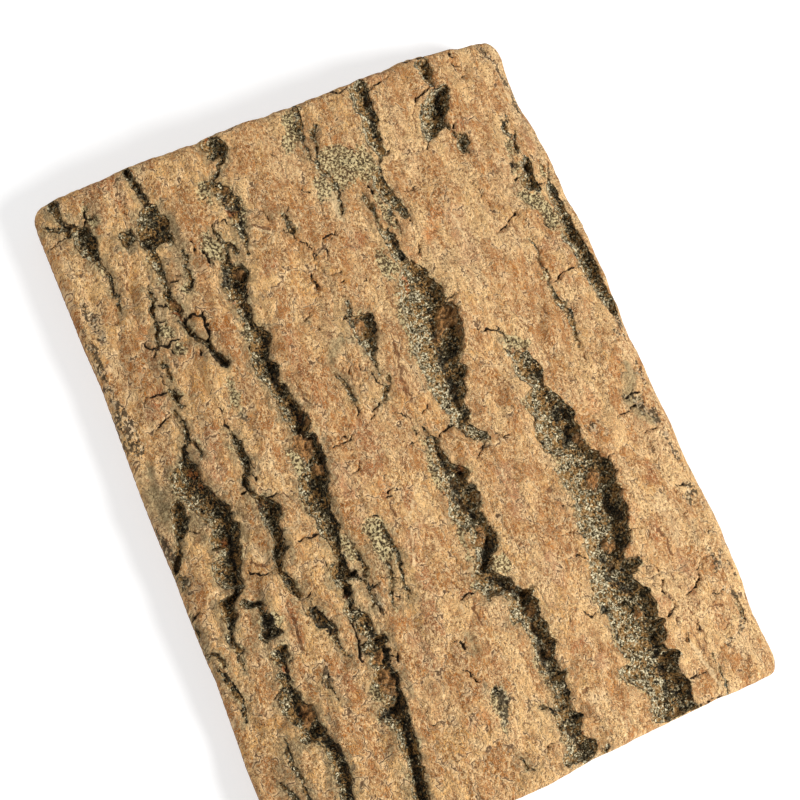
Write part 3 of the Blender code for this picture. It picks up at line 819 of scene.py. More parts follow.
# --- the slab's plan ---------------------------------------------------------------------------
def view_axes():
    towards = np.array([math.tan(math.radians(TILT_ACROSS)), math.tan(math.radians(TILT_ALONG)), 1.0])
    forward = -towards / np.linalg.norm(towards)
    right = np.cross(forward, (0.0, 1.0, 0.0))
    right /= np.linalg.norm(right)
    up = np.cross(right, forward)
    turn = math.radians(TURN)
    return (
        math.cos(turn) * right + math.sin(turn) * up,
        math.cos(turn) * up - math.sin(turn) * right,
        forward,
    )


RIGHT, UP, FORWARD = view_axes()


def crown(x):
    return EDGE_HEIGHT + CROWN_RISE * (1.0 - np.minimum(np.abs(x) / HALF_WIDTH, 1.0) ** 2)


def spot(px, py, height=None):
    """The point of the outer face, or of the plane at this height, that a picture point shows."""
    ray = (px - MIDDLE) / FOCAL * RIGHT - (py - MIDDLE) / FOCAL * UP + FORWARD
    x = 0.0
    for _ in range(1 if height is not None else 6):
        level = height if height is not None else crown(x)
        point = EYE + ray * ((level - EYE[2]) / ray[2])
        x = point[0]
    return float(point[0]), float(point[1])


def along_sight(x, y, z):
    """Where the sight line through this point crosses the plain face, on which the marks were read."""
    part = (crown(x) - z) / (EYE[2] - z)
    return x + (EYE[0] - x) * part, y + (EYE[1] - y) * part


def edge_line(points, across, height):
    spots = sorted(spot(px, py, height)[:: 1 if across else -1] for px, py in points)
    keys, values = zip(*spots)
    return lambda where: np.interp(where, keys, values)


left_line = edge_line(LEFT_EDGE, False, 2.5)
right_line = edge_line(RIGHT_EDGE, False, 4.5)
far_line = edge_line(FAR_EDGE, True, None)
near_line = edge_line(NEAR_EDGE, True, None)


def place(u, v):
    """Plan position of the plain rectangle's point (u, v), and its distance to the outline."""
    half_w, half_l = PLAIN_WIDTH / 2.0, PLAIN_LENGTH / 2.0
    edge = np.minimum(np.minimum(u, PLAIN_WIDTH - u), np.minimum(v, PLAIN_LENGTH - v))
    side_u, side_v = np.where(u > half_w, 1.0, -1.0), np.where(v > half_l, 1.0, -1.0)
    a = (side_u * (u - half_w) - (half_w - CORNER_RADIUS)) / CORNER_RADIUS
    b = (side_v * (v - half_l) - (half_l - CORNER_RADIUS)) / CORNER_RADIUS
    corner = (a > 0.0) & (b > 0.0)
    a0, b0 = np.clip(a, 0.0, 1.0), np.clip(b, 0.0, 1.0)
    ra, rb = a0 * np.sqrt(1.0 - b0**2 / 2.0), b0 * np.sqrt(1.0 - a0**2 / 2.0)
    u = np.where(corner, half_w + side_u * (half_w - CORNER_RADIUS + ra * CORNER_RADIUS), u)
    v = np.where(corner, half_l + side_v * (half_l - CORNER_RADIUS + rb * CORNER_RADIUS), v)
    edge = np.where(corner, CORNER_RADIUS * (1.0 - np.hypot(ra, rb)), edge)
    y_plain = v - half_l
    left, right = left_line(y_plain), right_line(y_plain)
    x = left + (right - left) * u / PLAIN_WIDTH
    near, far = near_line(x), far_line(x)
    return x, near + (far - near) * v / PLAIN_LENGTH, np.maximum(edge, 0.0)


# --- fields over the slab's plan ---------------------------------------------------------------
STEP = 0.1
XS = np.arange(-38.5, 38.5, STEP)
YS = np.arange(-51.5, 52.5, STEP)
GX, GY = np.meshgrid(XS, YS)
KX = np.fft.rfftfreq(len(XS), STEP)[None, :]
KY = np.fft.fftfreq(len(YS), STEP)[:, None]


def soften(field, across, along=None):
    """Gaussian blur, in millimetres."""
    along = across if along is None else along
    gain = np.exp(-2.0 * np.pi**2 * ((KX * across) ** 2 + (KY * along) ** 2))
    return np.fft.irfft2(np.fft.rfft2(field) * gain, s=field.shape)


def lumps(seed, across, along=None):
    """A smooth random field of unit spread, with lumps of about this size."""
    along = across if along is None else along
    field = np.random.default_rng(seed).standard_normal(GX.shape)
    field = soften(field, across / 3.0, along / 3.0)
    return (field - field.mean()) / field.std()


def layered(seed, across, along, octaves, gain=0.55):
    total = sum(gain**k * lumps(seed + k, across / 2**k, along / 2**k) for k in range(octaves))
    return total / total.std()


def smooth(t):
    t = np.clip(t, 0.0, 1.0)
    return t * t * (3.0 - 2.0 * t)


def window(points, reach):
    xs, ys = [p[0] for p in points], [p[1] for p in points]
    i0, i1 = np.searchsorted(XS, [min(xs) - reach, max(xs) + reach])
    j0, j1 = np.searchsorted(YS, [min(ys) - reach, max(ys) + reach])
    return slice(max(j0, 0), j1), slice(max(i0, 0), i1)


def ribbons(lines, reach, wx, wy):
    """Signed distance into the nearest ribbon, positive inside, on the warped plan (wx, wy)."""
    field = np.full(GX.shape, -reach)
    for line in lines:
        path = [(*spot(p[0], p[1]), p[2] / PX / 2.0) for p in line]
        for (ax, ay, aw), (bx, by, bw) in zip(path, path[1:]):
            where = window([(ax, ay), (bx, by)], reach + max(aw, bw) + 0.6)
            x, y = wx[where], wy[where]
            span = max((bx - ax) ** 2 + (by - ay) ** 2, 1e-9)
            along = np.clip(((x - ax) * (bx - ax) + (y - ay) * (by - ay)) / span, 0.0, 1.0)
            gap = np.hypot(x - ax - along * (bx - ax), y - ay - along * (by - ay))
            field[where] = np.maximum(field[where], aw + along * (bw - aw) - gap)
    return field


def lateral(inside):
    """Distance to the left and to the right bank, along the rows of the plan."""
    index = np.broadcast_to(np.arange(inside.shape[1]), inside.shape)
    left = index - np.maximum.accumulate(np.where(inside, -1, index), axis=1)
    flipped = inside[:, ::-1]
    right = index - np.maximum.accumulate(np.where(flipped, -1, index), axis=1)
    return left * STEP, right[:, ::-1] * STEP


def outlines(shapes, reach, wx, wy):
    """Signed distance into the nearest outline, positive inside, on the warped plan (wx, wy)."""
    field = np.full(GX.shape, -reach)
    for shape in shapes:
        path = [spot(px, py) for px, py in shape]
        where = window(path, reach + 0.6)
        x, y = wx[where], wy[where]
        gap = np.full(x.shape, 99.0)
        inside = np.zeros(x.shape, bool)
        for (ax, ay), (bx, by) in zip(path, path[1:] + path[:1]):
            span = max((bx - ax) ** 2 + (by - ay) ** 2, 1e-9)
            along = np.clip(((x - ax) * (bx - ax) + (y - ay) * (by - ay)) / span, 0.0, 1.0)
            gap = np.minimum(gap, np.hypot(x - ax - along * (bx - ax), y - ay - along * (by - ay)))
            if ay != by:
                inside ^= ((ay > y) != (by > y)) & (x < (bx - ax) * (y - ay) / (by - ay) + ax)
        field[where] = np.maximum(field[where], np.where(inside, gap, -gap))
    return field


def sample(field, x, y):
    i = np.clip((x - XS[0]) / STEP, 0.0, len(XS) - 1.001)
    j = np.clip((y - YS[0]) / STEP, 0.0, len(YS) - 1.001)
    i0, j0 = i.astype(int), j.astype(int)
    fi, fj = i - i0, j - j0
    low = field[j0, i0] * (1 - fi) + field[j0, i0 + 1] * fi
    high = field[j0 + 1, i0] * (1 - fi) + field[j0 + 1, i0 + 1] * fi
    return low * (1 - fj) + high * fj


WARP_X = GX + 0.1 * lumps(11, 0.9) + 0.08 * lumps(17, 0.42)
WARP_Y = GY + 0.1 * lumps(13, 0.9) + 0.08 * lumps(18, 0.42)

# The marks, each a field of signed distances in millimetres
bank = np.maximum(outlines(FLOORS, 2.0, WARP_X, WARP_Y), ribbons(CHANNELS, 2.0, WARP_X, WARP_Y))
shade_core = ribbons(CORES, 1.0, WARP_X, WARP_Y)
island = outlines(ISLANDS, 1.0, WARP_X, WARP_Y)
fringe = outlines(FRINGES, 1.5, WARP_X, WARP_Y)
specks = ribbons(SPECKS, 1.0, WARP_X, WARP_Y)
crack = ribbons(CRACKS, 0.6, WARP_X, WARP_Y)
pale_line = ribbons([[p[:3] for p in line] for line in LINES if line[0][3] > 0.5], 0.6, WARP_X, WARP_Y)
dark_line = ribbons([[p[:3] for p in line] for line in LINES if line[0][3] < 0.5], 0.6, WARP_X, WARP_Y)
stains_and_edge_highlights = {name: ribbons([line * 2 if len(line) == 1 else line for line in lines], 2.5, GX, GY) for name, lines in STAINS_AND_EDGE_HIGHLIGHTS.items()}

# Furrows: narrow ones are steep and shallow, wide ones have a gentle left bank.
open_part = bank > 0.0
to_left, to_right = lateral(open_part)
width = soften((to_left + to_right) * open_part, 0.3) / np.maximum(soften(open_part * 1.0, 0.3), 0.05)
share = np.where(open_part, to_left / np.maximum(to_left + to_right, STEP), 0.5)
share = soften(share, 0.15)
# Narrow furrows get painted shade as well: a black strip along the right bank, in the shade of its wall
shade_core = np.maximum(shade_core, np.minimum(ribbons(CHANNELS, 1.0, WARP_X, WARP_Y) - 0.08, 0.26 - to_right))
left_slope, right_slope = np.clip(0.45 * width, 0.15, 1.5), np.clip(0.18 * width, 0.1, 0.35)
wall = np.clip(0.35 + 0.52 * width, 0.35, 2.1)
wall *= (1.0 - np.exp(-to_left / left_slope)) * (1.0 - np.exp(-to_right / right_slope)) * open_part
under = along_sight(GX, GY, crown(GX) - wall)
wall *= 1.0 - 0.45 * smooth((sample(island, *under) + 0.2) / 0.5)
wall += 0.45 * smooth((sample(shade_core, *under) + 0.15) / 0.4) * smooth(bank / 0.2)
furrow = soften(wall, 0.07)
crumbs = 0.17 * lumps(21, 0.42) + 0.2 * np.abs(lumps(22, 0.7)) + 0.12 * lumps(23, 1.6)

# Flakes: a slowly changing level, cut into thin terraces.
level = 2.2 * layered(31, 7.0, 18.0, 5, 0.6) + 0.08 * GX + 0.03 * GY
level_slope = np.hypot(*np.gradient(level, STEP))
level_slope = soften(level_slope, 0.25)
whole = np.floor(level)
terrace = whole + smooth((level - whole) / np.maximum(level_slope * 0.25, 0.02))
relief = 0.16 * (terrace - level) + 0.3 * lumps(41, 9.0, 14.0) + 0.05 * lumps(42, 0.55, 1.1) + 0.11 * lumps(43, 1.5, 3.2) + 0.2 * np.abs(lumps(44, 2.4, 6.0)) + 0.2 * lumps(45, 4.0, 8.0)
relief += 0.03 * smooth((pale_line + 0.2) / 0.4) - 0.12 * smooth((dark_line + 0.1) / 0.2)
rough = np.maximum(smooth((fringe + 0.15) / 0.4), smooth((stains_and_edge_highlights["lichen"] + 0.2) / 0.6) * 0.6)
relief += rough * (0.14 * lumps(24, 0.4) - 0.2) - 0.25 * smooth((specks + 0.1) / 0.3) * np.maximum(lumps(25, 0.45) - 0.2, 0.0)
relief -= smooth((crack + 0.1) / 0.19) * (0.5 + 2.0 * np.clip(crack, 0.0, 0.25))
plate = 1.0 - smooth(bank / 0.3)
HEIGHT = crown(GX) + relief * plate - furrow + crumbs * smooth(bank / 0.25)
HEIGHT = np.maximum(HEIGHT, 2.2)


# --- the mesh ------------------------------------------------------------------------------------
PITCH = 0.17


def spread(length):
    """Grid lines on 0..length, closer together on the rounded shoulder."""
    rise = np.array([0.0, 0.03, 0.1, 0.2, 0.32, 0.46, 0.6, 0.76, 0.92]) * SHOULDER
    start = SHOULDER * 1.05
    inner = np.linspace(start, length - start, round((length - 2 * start) / PITCH) + 1)
    return np.concatenate([rise, inner, length - rise[::-1]])


def build_mesh():
    us, vs = spread(PLAIN_WIDTH), spread(PLAIN_LENGTH)
    n, m = len(us), len(vs)
    u, v = np.meshgrid(us, vs)
    x, y, edge = place(u, v)
    inset = np.maximum(0.0, 1.0 - edge / SHOULDER)
    z = sample(HEIGHT, x, y) - SHOULDER * (1.0 - np.sqrt(np.maximum(0.0, 1.0 - inset**2)))
    points = [np.stack([x.ravel(), y.ravel(), z.ravel()], axis=1)]
    index = np.arange(n * m).reshape(m, n)
    faces = [np.stack([index[:-1, :-1], index[:-1, 1:], index[1:, 1:], index[1:, :-1]], axis=-1).reshape(-1, 4)]
    loop = np.concatenate([index[0, :-1], index[:-1, -1], index[-1, :0:-1], index[:0:-1, 0]])

    # The cut sides: thin layers of bark, worn back by different amounts.
    rim = points[0][loop]
    count = len(loop)
    run = np.concatenate([[0.0], np.cumsum(np.linalg.norm(np.diff(rim[:, :2], axis=0), axis=1))])
    ahead, behind = np.roll(rim[:, :2], -3, axis=0), np.roll(rim[:, :2], 3, axis=0)
    along = ahead - behind
    along /= np.linalg.norm(along, axis=1)[:, None]
    inward = np.stack([-along[:, 1], along[:, 0]], axis=1)
    rows = 34
    rng = np.random.default_rng(5)
    layers = rng.uniform(0.0, 1.0, 64)
    total = n * m
    rings = [loop]
    for row in range(1, rows + 1):
        t = row / rows
        height = rim[:, 2] * (1.0 - t)
        wave = 0.25 * np.sin(run * 0.35 + 1.0) + 0.12 * np.sin(run * 1.3) + 0.06 * np.sin(run * 4.1 + 2.0)
        place_in = (height + wave) * 2.6 + 3.0
        low = np.floor(place_in).astype(int)
        back = layers[low % 64] + (layers[(low + 1) % 64] - layers[low % 64]) * smooth((place_in - low - 0.6) / 0.4)
        back = 0.28 * back * min(1.0, t * 6.0) + 0.05 * np.sin(run * 7.3 + 9.0 * t) * np.sin(run * 2.9)
        foot = FOOT * np.clip(1.0 - height / FOOT, 0.0, 1.0) ** 2
        shift = np.maximum(back, 0.0) + foot
        plan = rim[:, :2] + inward * shift[:, None]
        points.append(np.column_stack([plan, np.maximum(height, 0.0)]))
        ring = total + np.arange(count)
        total += count
        above = rings[-1]
        faces.append(np.stack([np.roll(above, -1), above, ring, np.roll(ring, -1)], axis=-1))
        rings.append(ring)

    # The inner face: slightly uneven, with fibres along the grain.
    bottom = rings[-1]
    border = points[-1][:, :2]
    gx, gy = np.meshgrid(np.arange(-37, 37, 0.6), np.arange(-50, 50, 0.9))
    jitter = np.random.default_rng(6).uniform(-0.18, 0.18, (2, *gx.shape))
    gx, gy = (gx + jitter[0]).ravel(), (gy + jitter[1]).ravel()
    inside = (gx > left_line(gy) + 1.4) & (gx < right_line(gy) - 1.4) & (gy > near_line(gx) + 1.4) & (gy < far_line(gx) - 1.4)
    reach_u = np.minimum(gx - left_line(gy), right_line(gy) - gx)
    reach_v = np.minimum(gy - near_line(gx), far_line(gx) - gy)
    inside &= (reach_u + reach_v > 5.0) | (np.minimum(reach_u, reach_v) > 2.6)
    gx, gy = gx[inside], gy[inside]
    plan = [Vector(p) for p in border] + [Vector(p) for p in zip(gx, gy)]
    ring_edges = [(k, (k + 1) % count) for k in range(count)]
    made, _, tris, origin, _, _ = delaunay_2d_cdt(plan, ring_edges, [], 1, 1e-5)
    fibre = 0.1 + 0.07 * lumps(51, 0.9, 14.0) + 0.05 * lumps(52, 3.0, 25.0) + 0.03 * lumps(53, 6.0)
    hollow = np.clip(sample(fibre, gx, gy), 0.0, 0.4)
    points.append(np.column_stack([gx, gy, hollow]))
    table = np.concatenate([bottom, total + np.arange(len(gx))])
    renamed = [table[o[0]] if o else -1 for o in origin]
    tris = np.array([[renamed[c] for c in tri] for tri in tris if len(tri) == 3])
    tris = tris[(tris >= 0).all(axis=1)]
    points = np.concatenate(points)
    a, b, c = (points[tris[:, k], :2] for k in range(3))
    turn = (b[:, 0] - a[:, 0]) * (c[:, 1] - a[:, 1]) - (b[:, 1] - a[:, 1]) * (c[:, 0] - a[:, 0])
    tris[turn > 0] = tris[turn > 0][:, ::-1]
    return points, np.concatenate(faces), tris, n * m


def to_object():
    points, quads, tris, top_count = build_mesh()
    low, high = np.array(CAD_LOW) * 1000.0, np.array(CAD_HIGH) * 1000.0
    outline = points[:, :2]
    middle = (outline.min(axis=0) + outline.max(axis=0)) / 2.0
    mesh = bpy.data.meshes.new("bark_slab_skin")
    mesh.vertices.add(len(points))
    mesh.vertices.foreach_set("co", points.astype(np.float32).ravel())
    corners = np.concatenate([quads.ravel(), tris.ravel()])
    starts = np.concatenate([np.arange(len(quads)) * 4, len(quads) * 4 + np.arange(len(tris)) * 3])
    mesh.loops.add(len(corners))
    mesh.loops.foreach_set("vertex_index", corners.astype(np.int32))
    mesh.polygons.add(len(starts))
    mesh.polygons.foreach_set("loop_start", starts.astype(np.int32))
    mesh.update(calc_edges=True)
    mesh.validate()
    kind = mesh.attributes.new("top", "FLOAT", "POINT")
    kind.data.foreach_set("value", (np.arange(len(points)) < top_count).astype(np.float32))
    obj = bpy.data.objects.new("bark_skin", mesh)
    bpy.context.scene.collection.objects.link(obj)

    # Thin out where the surface is plain, and keep the small shapes.
    thin = obj.modifiers.new("thin", "DECIMATE")
    mesh.calc_loop_triangles()
    thin.ratio = min(1.0, 190000 / len(mesh.loop_triangles))
    graph = bpy.context.evaluated_depsgraph_get()
    fine = bpy.data.meshes.new_from_object(obj.evaluated_get(graph), preserve_all_data_layers=True, depsgraph=graph)
    obj.modifiers.clear()
    obj.data = fine
    bpy.data.meshes.remove(mesh)
    return obj, middle, low, high


def give(mesh, name, values):
    layer = mesh.attributes.new(name, "FLOAT", "POINT")
    layer.data.foreach_set("value", np.asarray(values, np.float32))

piece, shift, low, high = to_object()
mesh = piece.data
co = np.empty(len(mesh.vertices) * 3, np.float32)
mesh.vertices.foreach_get("co", co)
co = co.reshape(-1, 3).astype(float)
x, y = co[:, 0], co[:, 1]
seen = along_sight(x, y, co[:, 2] + 0.0)
give(mesh, "bank", np.maximum(sample(bank, x, y), sample(bank, *seen)))
give(mesh, "share", sample(share, *seen))
give(mesh, "level", sample(level, x, y))
give(mesh, "slope", sample(level_slope, x, y))
for name, field in {"shade_core": shade_core, "island": island, "fringe": fringe, "specks": specks, "crack": crack, "pale_line": pale_line, "dark_line": dark_line, **stains_and_edge_highlights}.items():
    give(mesh, name, sample(field, *seen))
co[:, :2] -= shift
co = np.clip(co, low, high) / 1000.0
mesh.vertices.foreach_set("co", co.astype(np.float32).ravel())
mesh.update()
mesh.shade_smooth()



# --- material ------------------------------------------------------------------------------------
def linear(r, g, b):
    """A colour given in 0..255 as it looks, as Blender's linear values."""
    return tuple(((c / 255.0 + 0.055) / 1.055) ** 2.4 if c > 10 else c / 255.0 / 12.92 for c in (r, g, b)) + (1.0,)


class Graph:
    """Short names for the shader nodes that the bark uses."""

    def __init__(self, tree):
        self.tree = tree

    def node(self, kind, settings=None, **inputs):
        made = self.tree.nodes.new(kind)
        for key, value in (settings or {}).items():
            setattr(made, key, value)
        for key, value in inputs.items():
            key = int(key[1:]) if key[0] == "i" and key[1:].isdigit() else key.replace("_", " ")
            self.set(made.inputs[key], value)
        return made

    def set(self, socket, value):
        if isinstance(value, bpy.types.NodeSocket):
            self.tree.links.new(value, socket)
        elif isinstance(value, tuple) and len(value) == 3 and socket.type == "RGBA":
            socket.default_value = (*value, 1.0)
        else:
            socket.default_value = value

    def attr(self, name):
        return self.node("ShaderNodeAttribute", {"attribute_name": name}).outputs["Fac"]

    def math(self, operation, a, b=0.0, c=0.0, clamp=False):
        return self.node("ShaderNodeMath", {"operation": operation, "use_clamp": clamp}, i0=a, i1=b, i2=c).outputs[0]

    def add(self, a, b):
        return self.math("ADD", a, b)

    def mul(self, a, b):
        return self.math("MULTIPLY", a, b)

    def sub(self, a, b):
        return self.math("SUBTRACT", a, b)

    def step(self, value, start, end):
        """0 before start and 1 after end, smooth between them. It falls where end is before start."""
        settings = {"interpolation_type": "SMOOTHSTEP"}
        if isinstance(start, (int, float)) and isinstance(end, (int, float)) and end < start:
            return self.node("ShaderNodeMapRange", settings, i0=value, i1=end, i2=start, i3=1.0, i4=0.0).outputs[0]
        return self.node("ShaderNodeMapRange", settings, i0=value, i1=start, i2=end, i3=0.0, i4=1.0).outputs[0]

    def mix(self, amount, a, b, blend="MIX"):
        made = self.tree.nodes.new("ShaderNodeMix")
        made.data_type = "RGBA"
        made.blend_type = blend
        self.set(made.inputs[0], amount)
        self.set(made.inputs[6], a)
        self.set(made.inputs[7], b)
        return made.outputs[2]

    def stretch(self, vector, sx, sy, sz):
        return self.node("ShaderNodeVectorMath", {"operation": "MULTIPLY"}, i0=vector, i1=(sx, sy, sz)).outputs[0]

    def shift(self, vector, by):
        return self.node("ShaderNodeVectorMath", {"operation": "ADD"}, i0=vector, i1=by).outputs[0]

    def noise(self, vector, scale, detail=2.0, rough=0.5, warp=0.0, kind="2D"):
        return self.node("ShaderNodeTexNoise", {"noise_dimensions": kind}, Vector=vector, Scale=scale, Detail=detail, Roughness=rough, Distortion=warp).outputs["Fac"]

    def cells(self, vector, scale, feature="F1", kind="2D"):
        return self.node("ShaderNodeTexVoronoi", {"feature": feature, "voronoi_dimensions": kind}, Vector=vector, Scale=scale)


def bark_material():
    material = bpy.data.materials.new("pine_bark")
    material.use_nodes = True
    g = Graph(material.node_tree)
    shader = material.node_tree.nodes["Principled BSDF"]
    here = g.node("ShaderNodeTexCoord").outputs["Object"]
    mm = g.stretch(here, 1000.0, 1000.0, 1000.0)

    # Patterns that everything below shares. They lie in the plan and lean a little with the height.
    plan = g.node("ShaderNodeSeparateXYZ", None, Vector=mm)
    across, height_here = plan.outputs[0], plan.outputs[2]
    lean_x = g.sub(across, g.mul(height_here, 0.35))
    lean_y = g.sub(plan.outputs[1], g.mul(height_here, 0.3))
    flat = g.node("ShaderNodeCombineXYZ", None, X=lean_x, Y=lean_y).outputs[0]
    big = g.noise(flat, 0.11, 2.0, 0.55)
    soft = g.noise(flat, 0.7, 3.0, 0.6)
    rag = g.noise(mm, 2.6, 3.0, 0.7, 0.0, "3D")
    mid = g.noise(g.stretch(flat, 1.0, 0.6, 1.0), 0.85, 3.0, 0.66)
    fine = g.noise(g.stretch(flat, 1.0, 0.8, 1.0), 2.3, 2.0, 0.75)
    grit = g.noise(mm, 4.6, 1.0, 0.5, 0.0, "3D")
    tint = g.noise(g.stretch(flat, 1.0, 0.5, 1.0), 0.19, 2.0, 0.6)
    grains = g.cells(mm, 2.9, "F1", "3D")
    dice = g.node("ShaderNodeSeparateColor", None, Color=grains.outputs["Color"])
    bend = g.node("ShaderNodeTexNoise", {"noise_dimensions": "2D"}, Vector=flat, Scale=0.45, Detail=2.0, Roughness=0.75).outputs["Color"]
    bent = g.stretch(g.shift(flat, g.stretch(g.shift(bend, (-0.5, -0.5, -0.5)), 3.4, 3.4, 0.0)), 1.0, 0.5, 1.0)
    chips = g.node("ShaderNodeSeparateColor", None, Color=g.cells(bent, 1.25).outputs["Color"])
    chip = chips.outputs[0]
    crumbly = g.add(g.mul(rag, 0.3), g.add(g.mul(dice.outputs[2], 0.3), g.mul(chips.outputs[1], 0.4)))
    apart = g.step(grains.outputs["Distance"], 0.34, 0.62)
    shelf_at = g.mul(mid, 9.0)
    shelf = g.math("FLOOR", shelf_at)
    lip = g.math("FRACT", shelf_at)
    shelf_tone = g.math("FRACT", g.mul(shelf, 0.618))

    def inside(name, pattern, ragged, start, end):
        return g.step(g.add(g.attr(name), g.mul(g.sub(pattern, 0.5), ragged)), start, end)

    # Plates: bands of the flakes' layers, then single flakes
    plate = g.mix(g.step(big, 0.4, 0.58), linear(208, 160, 98), linear(176, 118, 60))
    plate = g.mix(g.mul(g.step(tint, 0.52, 0.62), 0.8), plate, linear(222, 184, 134))
    plate = g.mix(g.mul(g.step(tint, 0.46, 0.36), 0.75), plate, linear(168, 114, 64))
    level = g.add(g.attr("level"), g.mul(g.sub(mid, 0.5), 0.5))
    part = g.math("FRACT", level)
    # Painted shade darkens each terrace towards the foot of the next step, and the pale rim just above each step is
    # partly painted highlight and partly weathered edge
    plate = g.mix(g.mul(g.step(part, 0.5, 0.97), 0.6), plate, linear(146, 96, 56))
    plate = g.mix(g.mul(g.step(part, 0.35, 0.03), 0.6), plate, linear(222, 186, 134))
    flake = g.node("ShaderNodeSeparateColor", None, Color=g.cells(bent, 0.36).outputs["Color"]).outputs[0]
    plate = g.mix(g.mul(g.step(flake, 0.42, 0.2), 0.75), plate, linear(160, 104, 50))
    plate = g.mix(g.mul(g.step(flake, 0.62, 0.85), 0.7), plate, linear(220, 180, 124))
    plate = g.mix(g.mul(g.step(chip, 0.3, 0.0), 0.45), plate, linear(150, 98, 58))
    plate = g.mix(g.mul(g.step(chip, 0.7, 1.0), 0.45), plate, linear(222, 186, 136))
    plate = g.mix(g.mul(g.step(across, 10.0, -22.0), 0.6), plate, (0.83, 0.7, 0.48, 1.0), "MULTIPLY")
    # Stains, and painted highlight where the cream rows run along the slab's edges
    for name, strength, colour in (
        ("pink", 0.5, linear(182, 136, 102)),
        ("dusk", 0.5, linear(132, 96, 66)),
        ("ash", 0.6, linear(150, 130, 96)),
        ("olive", 0.75, linear(92, 76, 48)),
        ("cream", 0.6, linear(220, 188, 140)),
        ("rust", 0.7, linear(156, 94, 54)),
        ("orange", 0.5, linear(186, 112, 56)),
    ):
        plate = g.mix(g.mul(inside(name, soft, 2.4, -0.4, 0.3), strength), plate, colour)
    plate = g.mix(g.mul(g.step(shelf_tone, 0.6, 0.8), 0.45), plate, linear(220, 180, 126))
    plate = g.mix(g.mul(g.step(shelf_tone, 0.4, 0.2), 0.45), plate, linear(150, 98, 56))
    patchy = g.step(g.add(chips.outputs[2], g.mul(tint, 0.5)), 0.5, 0.9)
    plate = g.mix(g.mul(g.mul(g.step(fine, 0.55, 0.62), patchy), 0.6), plate, linear(238, 204, 152))
    plate = g.mix(g.mul(g.mul(g.step(fine, 0.44, 0.36), patchy), 0.8), plate, linear(100, 62, 34))
    plate = g.mix(g.mul(g.step(grit, 0.38, 0.24), 0.35), plate, linear(92, 60, 36))
    plate = g.mix(g.mul(g.step(grit, 0.62, 0.76), 0.3), plate, linear(236, 208, 164))

    # Edges of the flakes and shelves: pale rims, partly painted highlight and partly weathered edge, and dark lines of
    # painted shade at the shelves' feet and in the creases between flakes
    plate = g.mix(g.mul(g.step(lip, 0.5, 0.2), 0.45), plate, linear(236, 202, 152))
    # Painted shade at the foot of each shelf
    plate = g.mix(g.mul(g.step(lip, 0.2, 0.1), g.mul(g.step(rag, 0.36, 0.5), 0.9)), plate, linear(78, 50, 30))
    gap = g.cells(bent, 0.36, "DISTANCE_TO_EDGE").outputs["Distance"]
    seen = g.step(g.add(soft, g.mul(g.step(across, 6.0, -24.0), 0.08)), 0.52, 0.59)
    plate = g.mix(g.mul(g.mul(g.step(gap, 0.12, 0.05), seen), 0.55), plate, linear(232, 198, 150))
    # Painted shade in the creases between flakes
    plate = g.mix(g.mul(g.mul(g.step(gap, 0.036, 0.014), seen), 0.85), plate, linear(84, 56, 36))
    plate = g.mix(g.mul(inside("pale_line", crumbly, 0.16, -0.12, 0.04), 0.75), plate, linear(226, 194, 146))
    plate = g.mix(g.mul(inside("dark_line", crumbly, 0.16, -0.08, 0.04), 0.8), plate, linear(104, 64, 36))

    # Grey and olive growth, crumbly banks and dark specks
    lumpy = g.noise(mm, 2.9, 1.0, 0.6, 0.0, "3D")
    salt = g.step(lumpy, 0.34, 0.66)
    crumb = g.add(g.mul(dice.outputs[0], 0.35), g.mul(salt, 0.65))
    crumb_colour = g.mix(g.step(crumb, 0.26, 0.44), linear(40, 34, 23), linear(128, 110, 74))
    crumb_colour = g.mix(g.step(crumb, 0.5, 0.68), crumb_colour, linear(208, 190, 142))
    growth = g.mix(g.step(crumb, 0.15, 0.6), linear(106, 90, 62), linear(160, 142, 104))
    plate = g.mix(g.mul(inside("lichen", soft, 2.4, -0.6, 0.6), 0.75), plate, growth)
    halo = g.mul(g.step(g.add(g.attr("bank"), g.mul(g.sub(mid, 0.55), 5.0)), -1.5, -0.2), g.step(across, 30.0, -18.0))
    plate = g.mix(g.mul(halo, 0.6), plate, growth)
    near = g.step(g.add(g.attr("bank"), g.mul(g.sub(soft, 0.6), 3.2)), -0.35, 0.1)
    plate = g.mix(g.mul(near, 0.6), plate, crumb_colour)
    plate = g.mix(g.mul(inside("fringe", crumbly, 1.6, -0.2, 0.15), 0.8), plate, crumb_colour)
    dots = g.mul(inside("specks", crumbly, 0.9, -0.15, 0.1), g.step(dice.outputs[1], 0.6, 0.5))
    plate = g.mix(g.mul(dots, 0.85), plate, linear(62, 52, 38))
    dots = g.mul(inside("specks", crumbly, 0.9, -0.15, 0.1), g.step(dice.outputs[1], 0.7, 0.8))
    plate = g.mix(g.mul(dots, 0.4), plate, linear(204, 190, 158))
    # Near-black in the cracks: painted shade, over their real groove
    plate = g.mix(g.mul(inside("crack", crumbly, 0.14, -0.04, 0.02), 0.95), plate, linear(34, 24, 16))
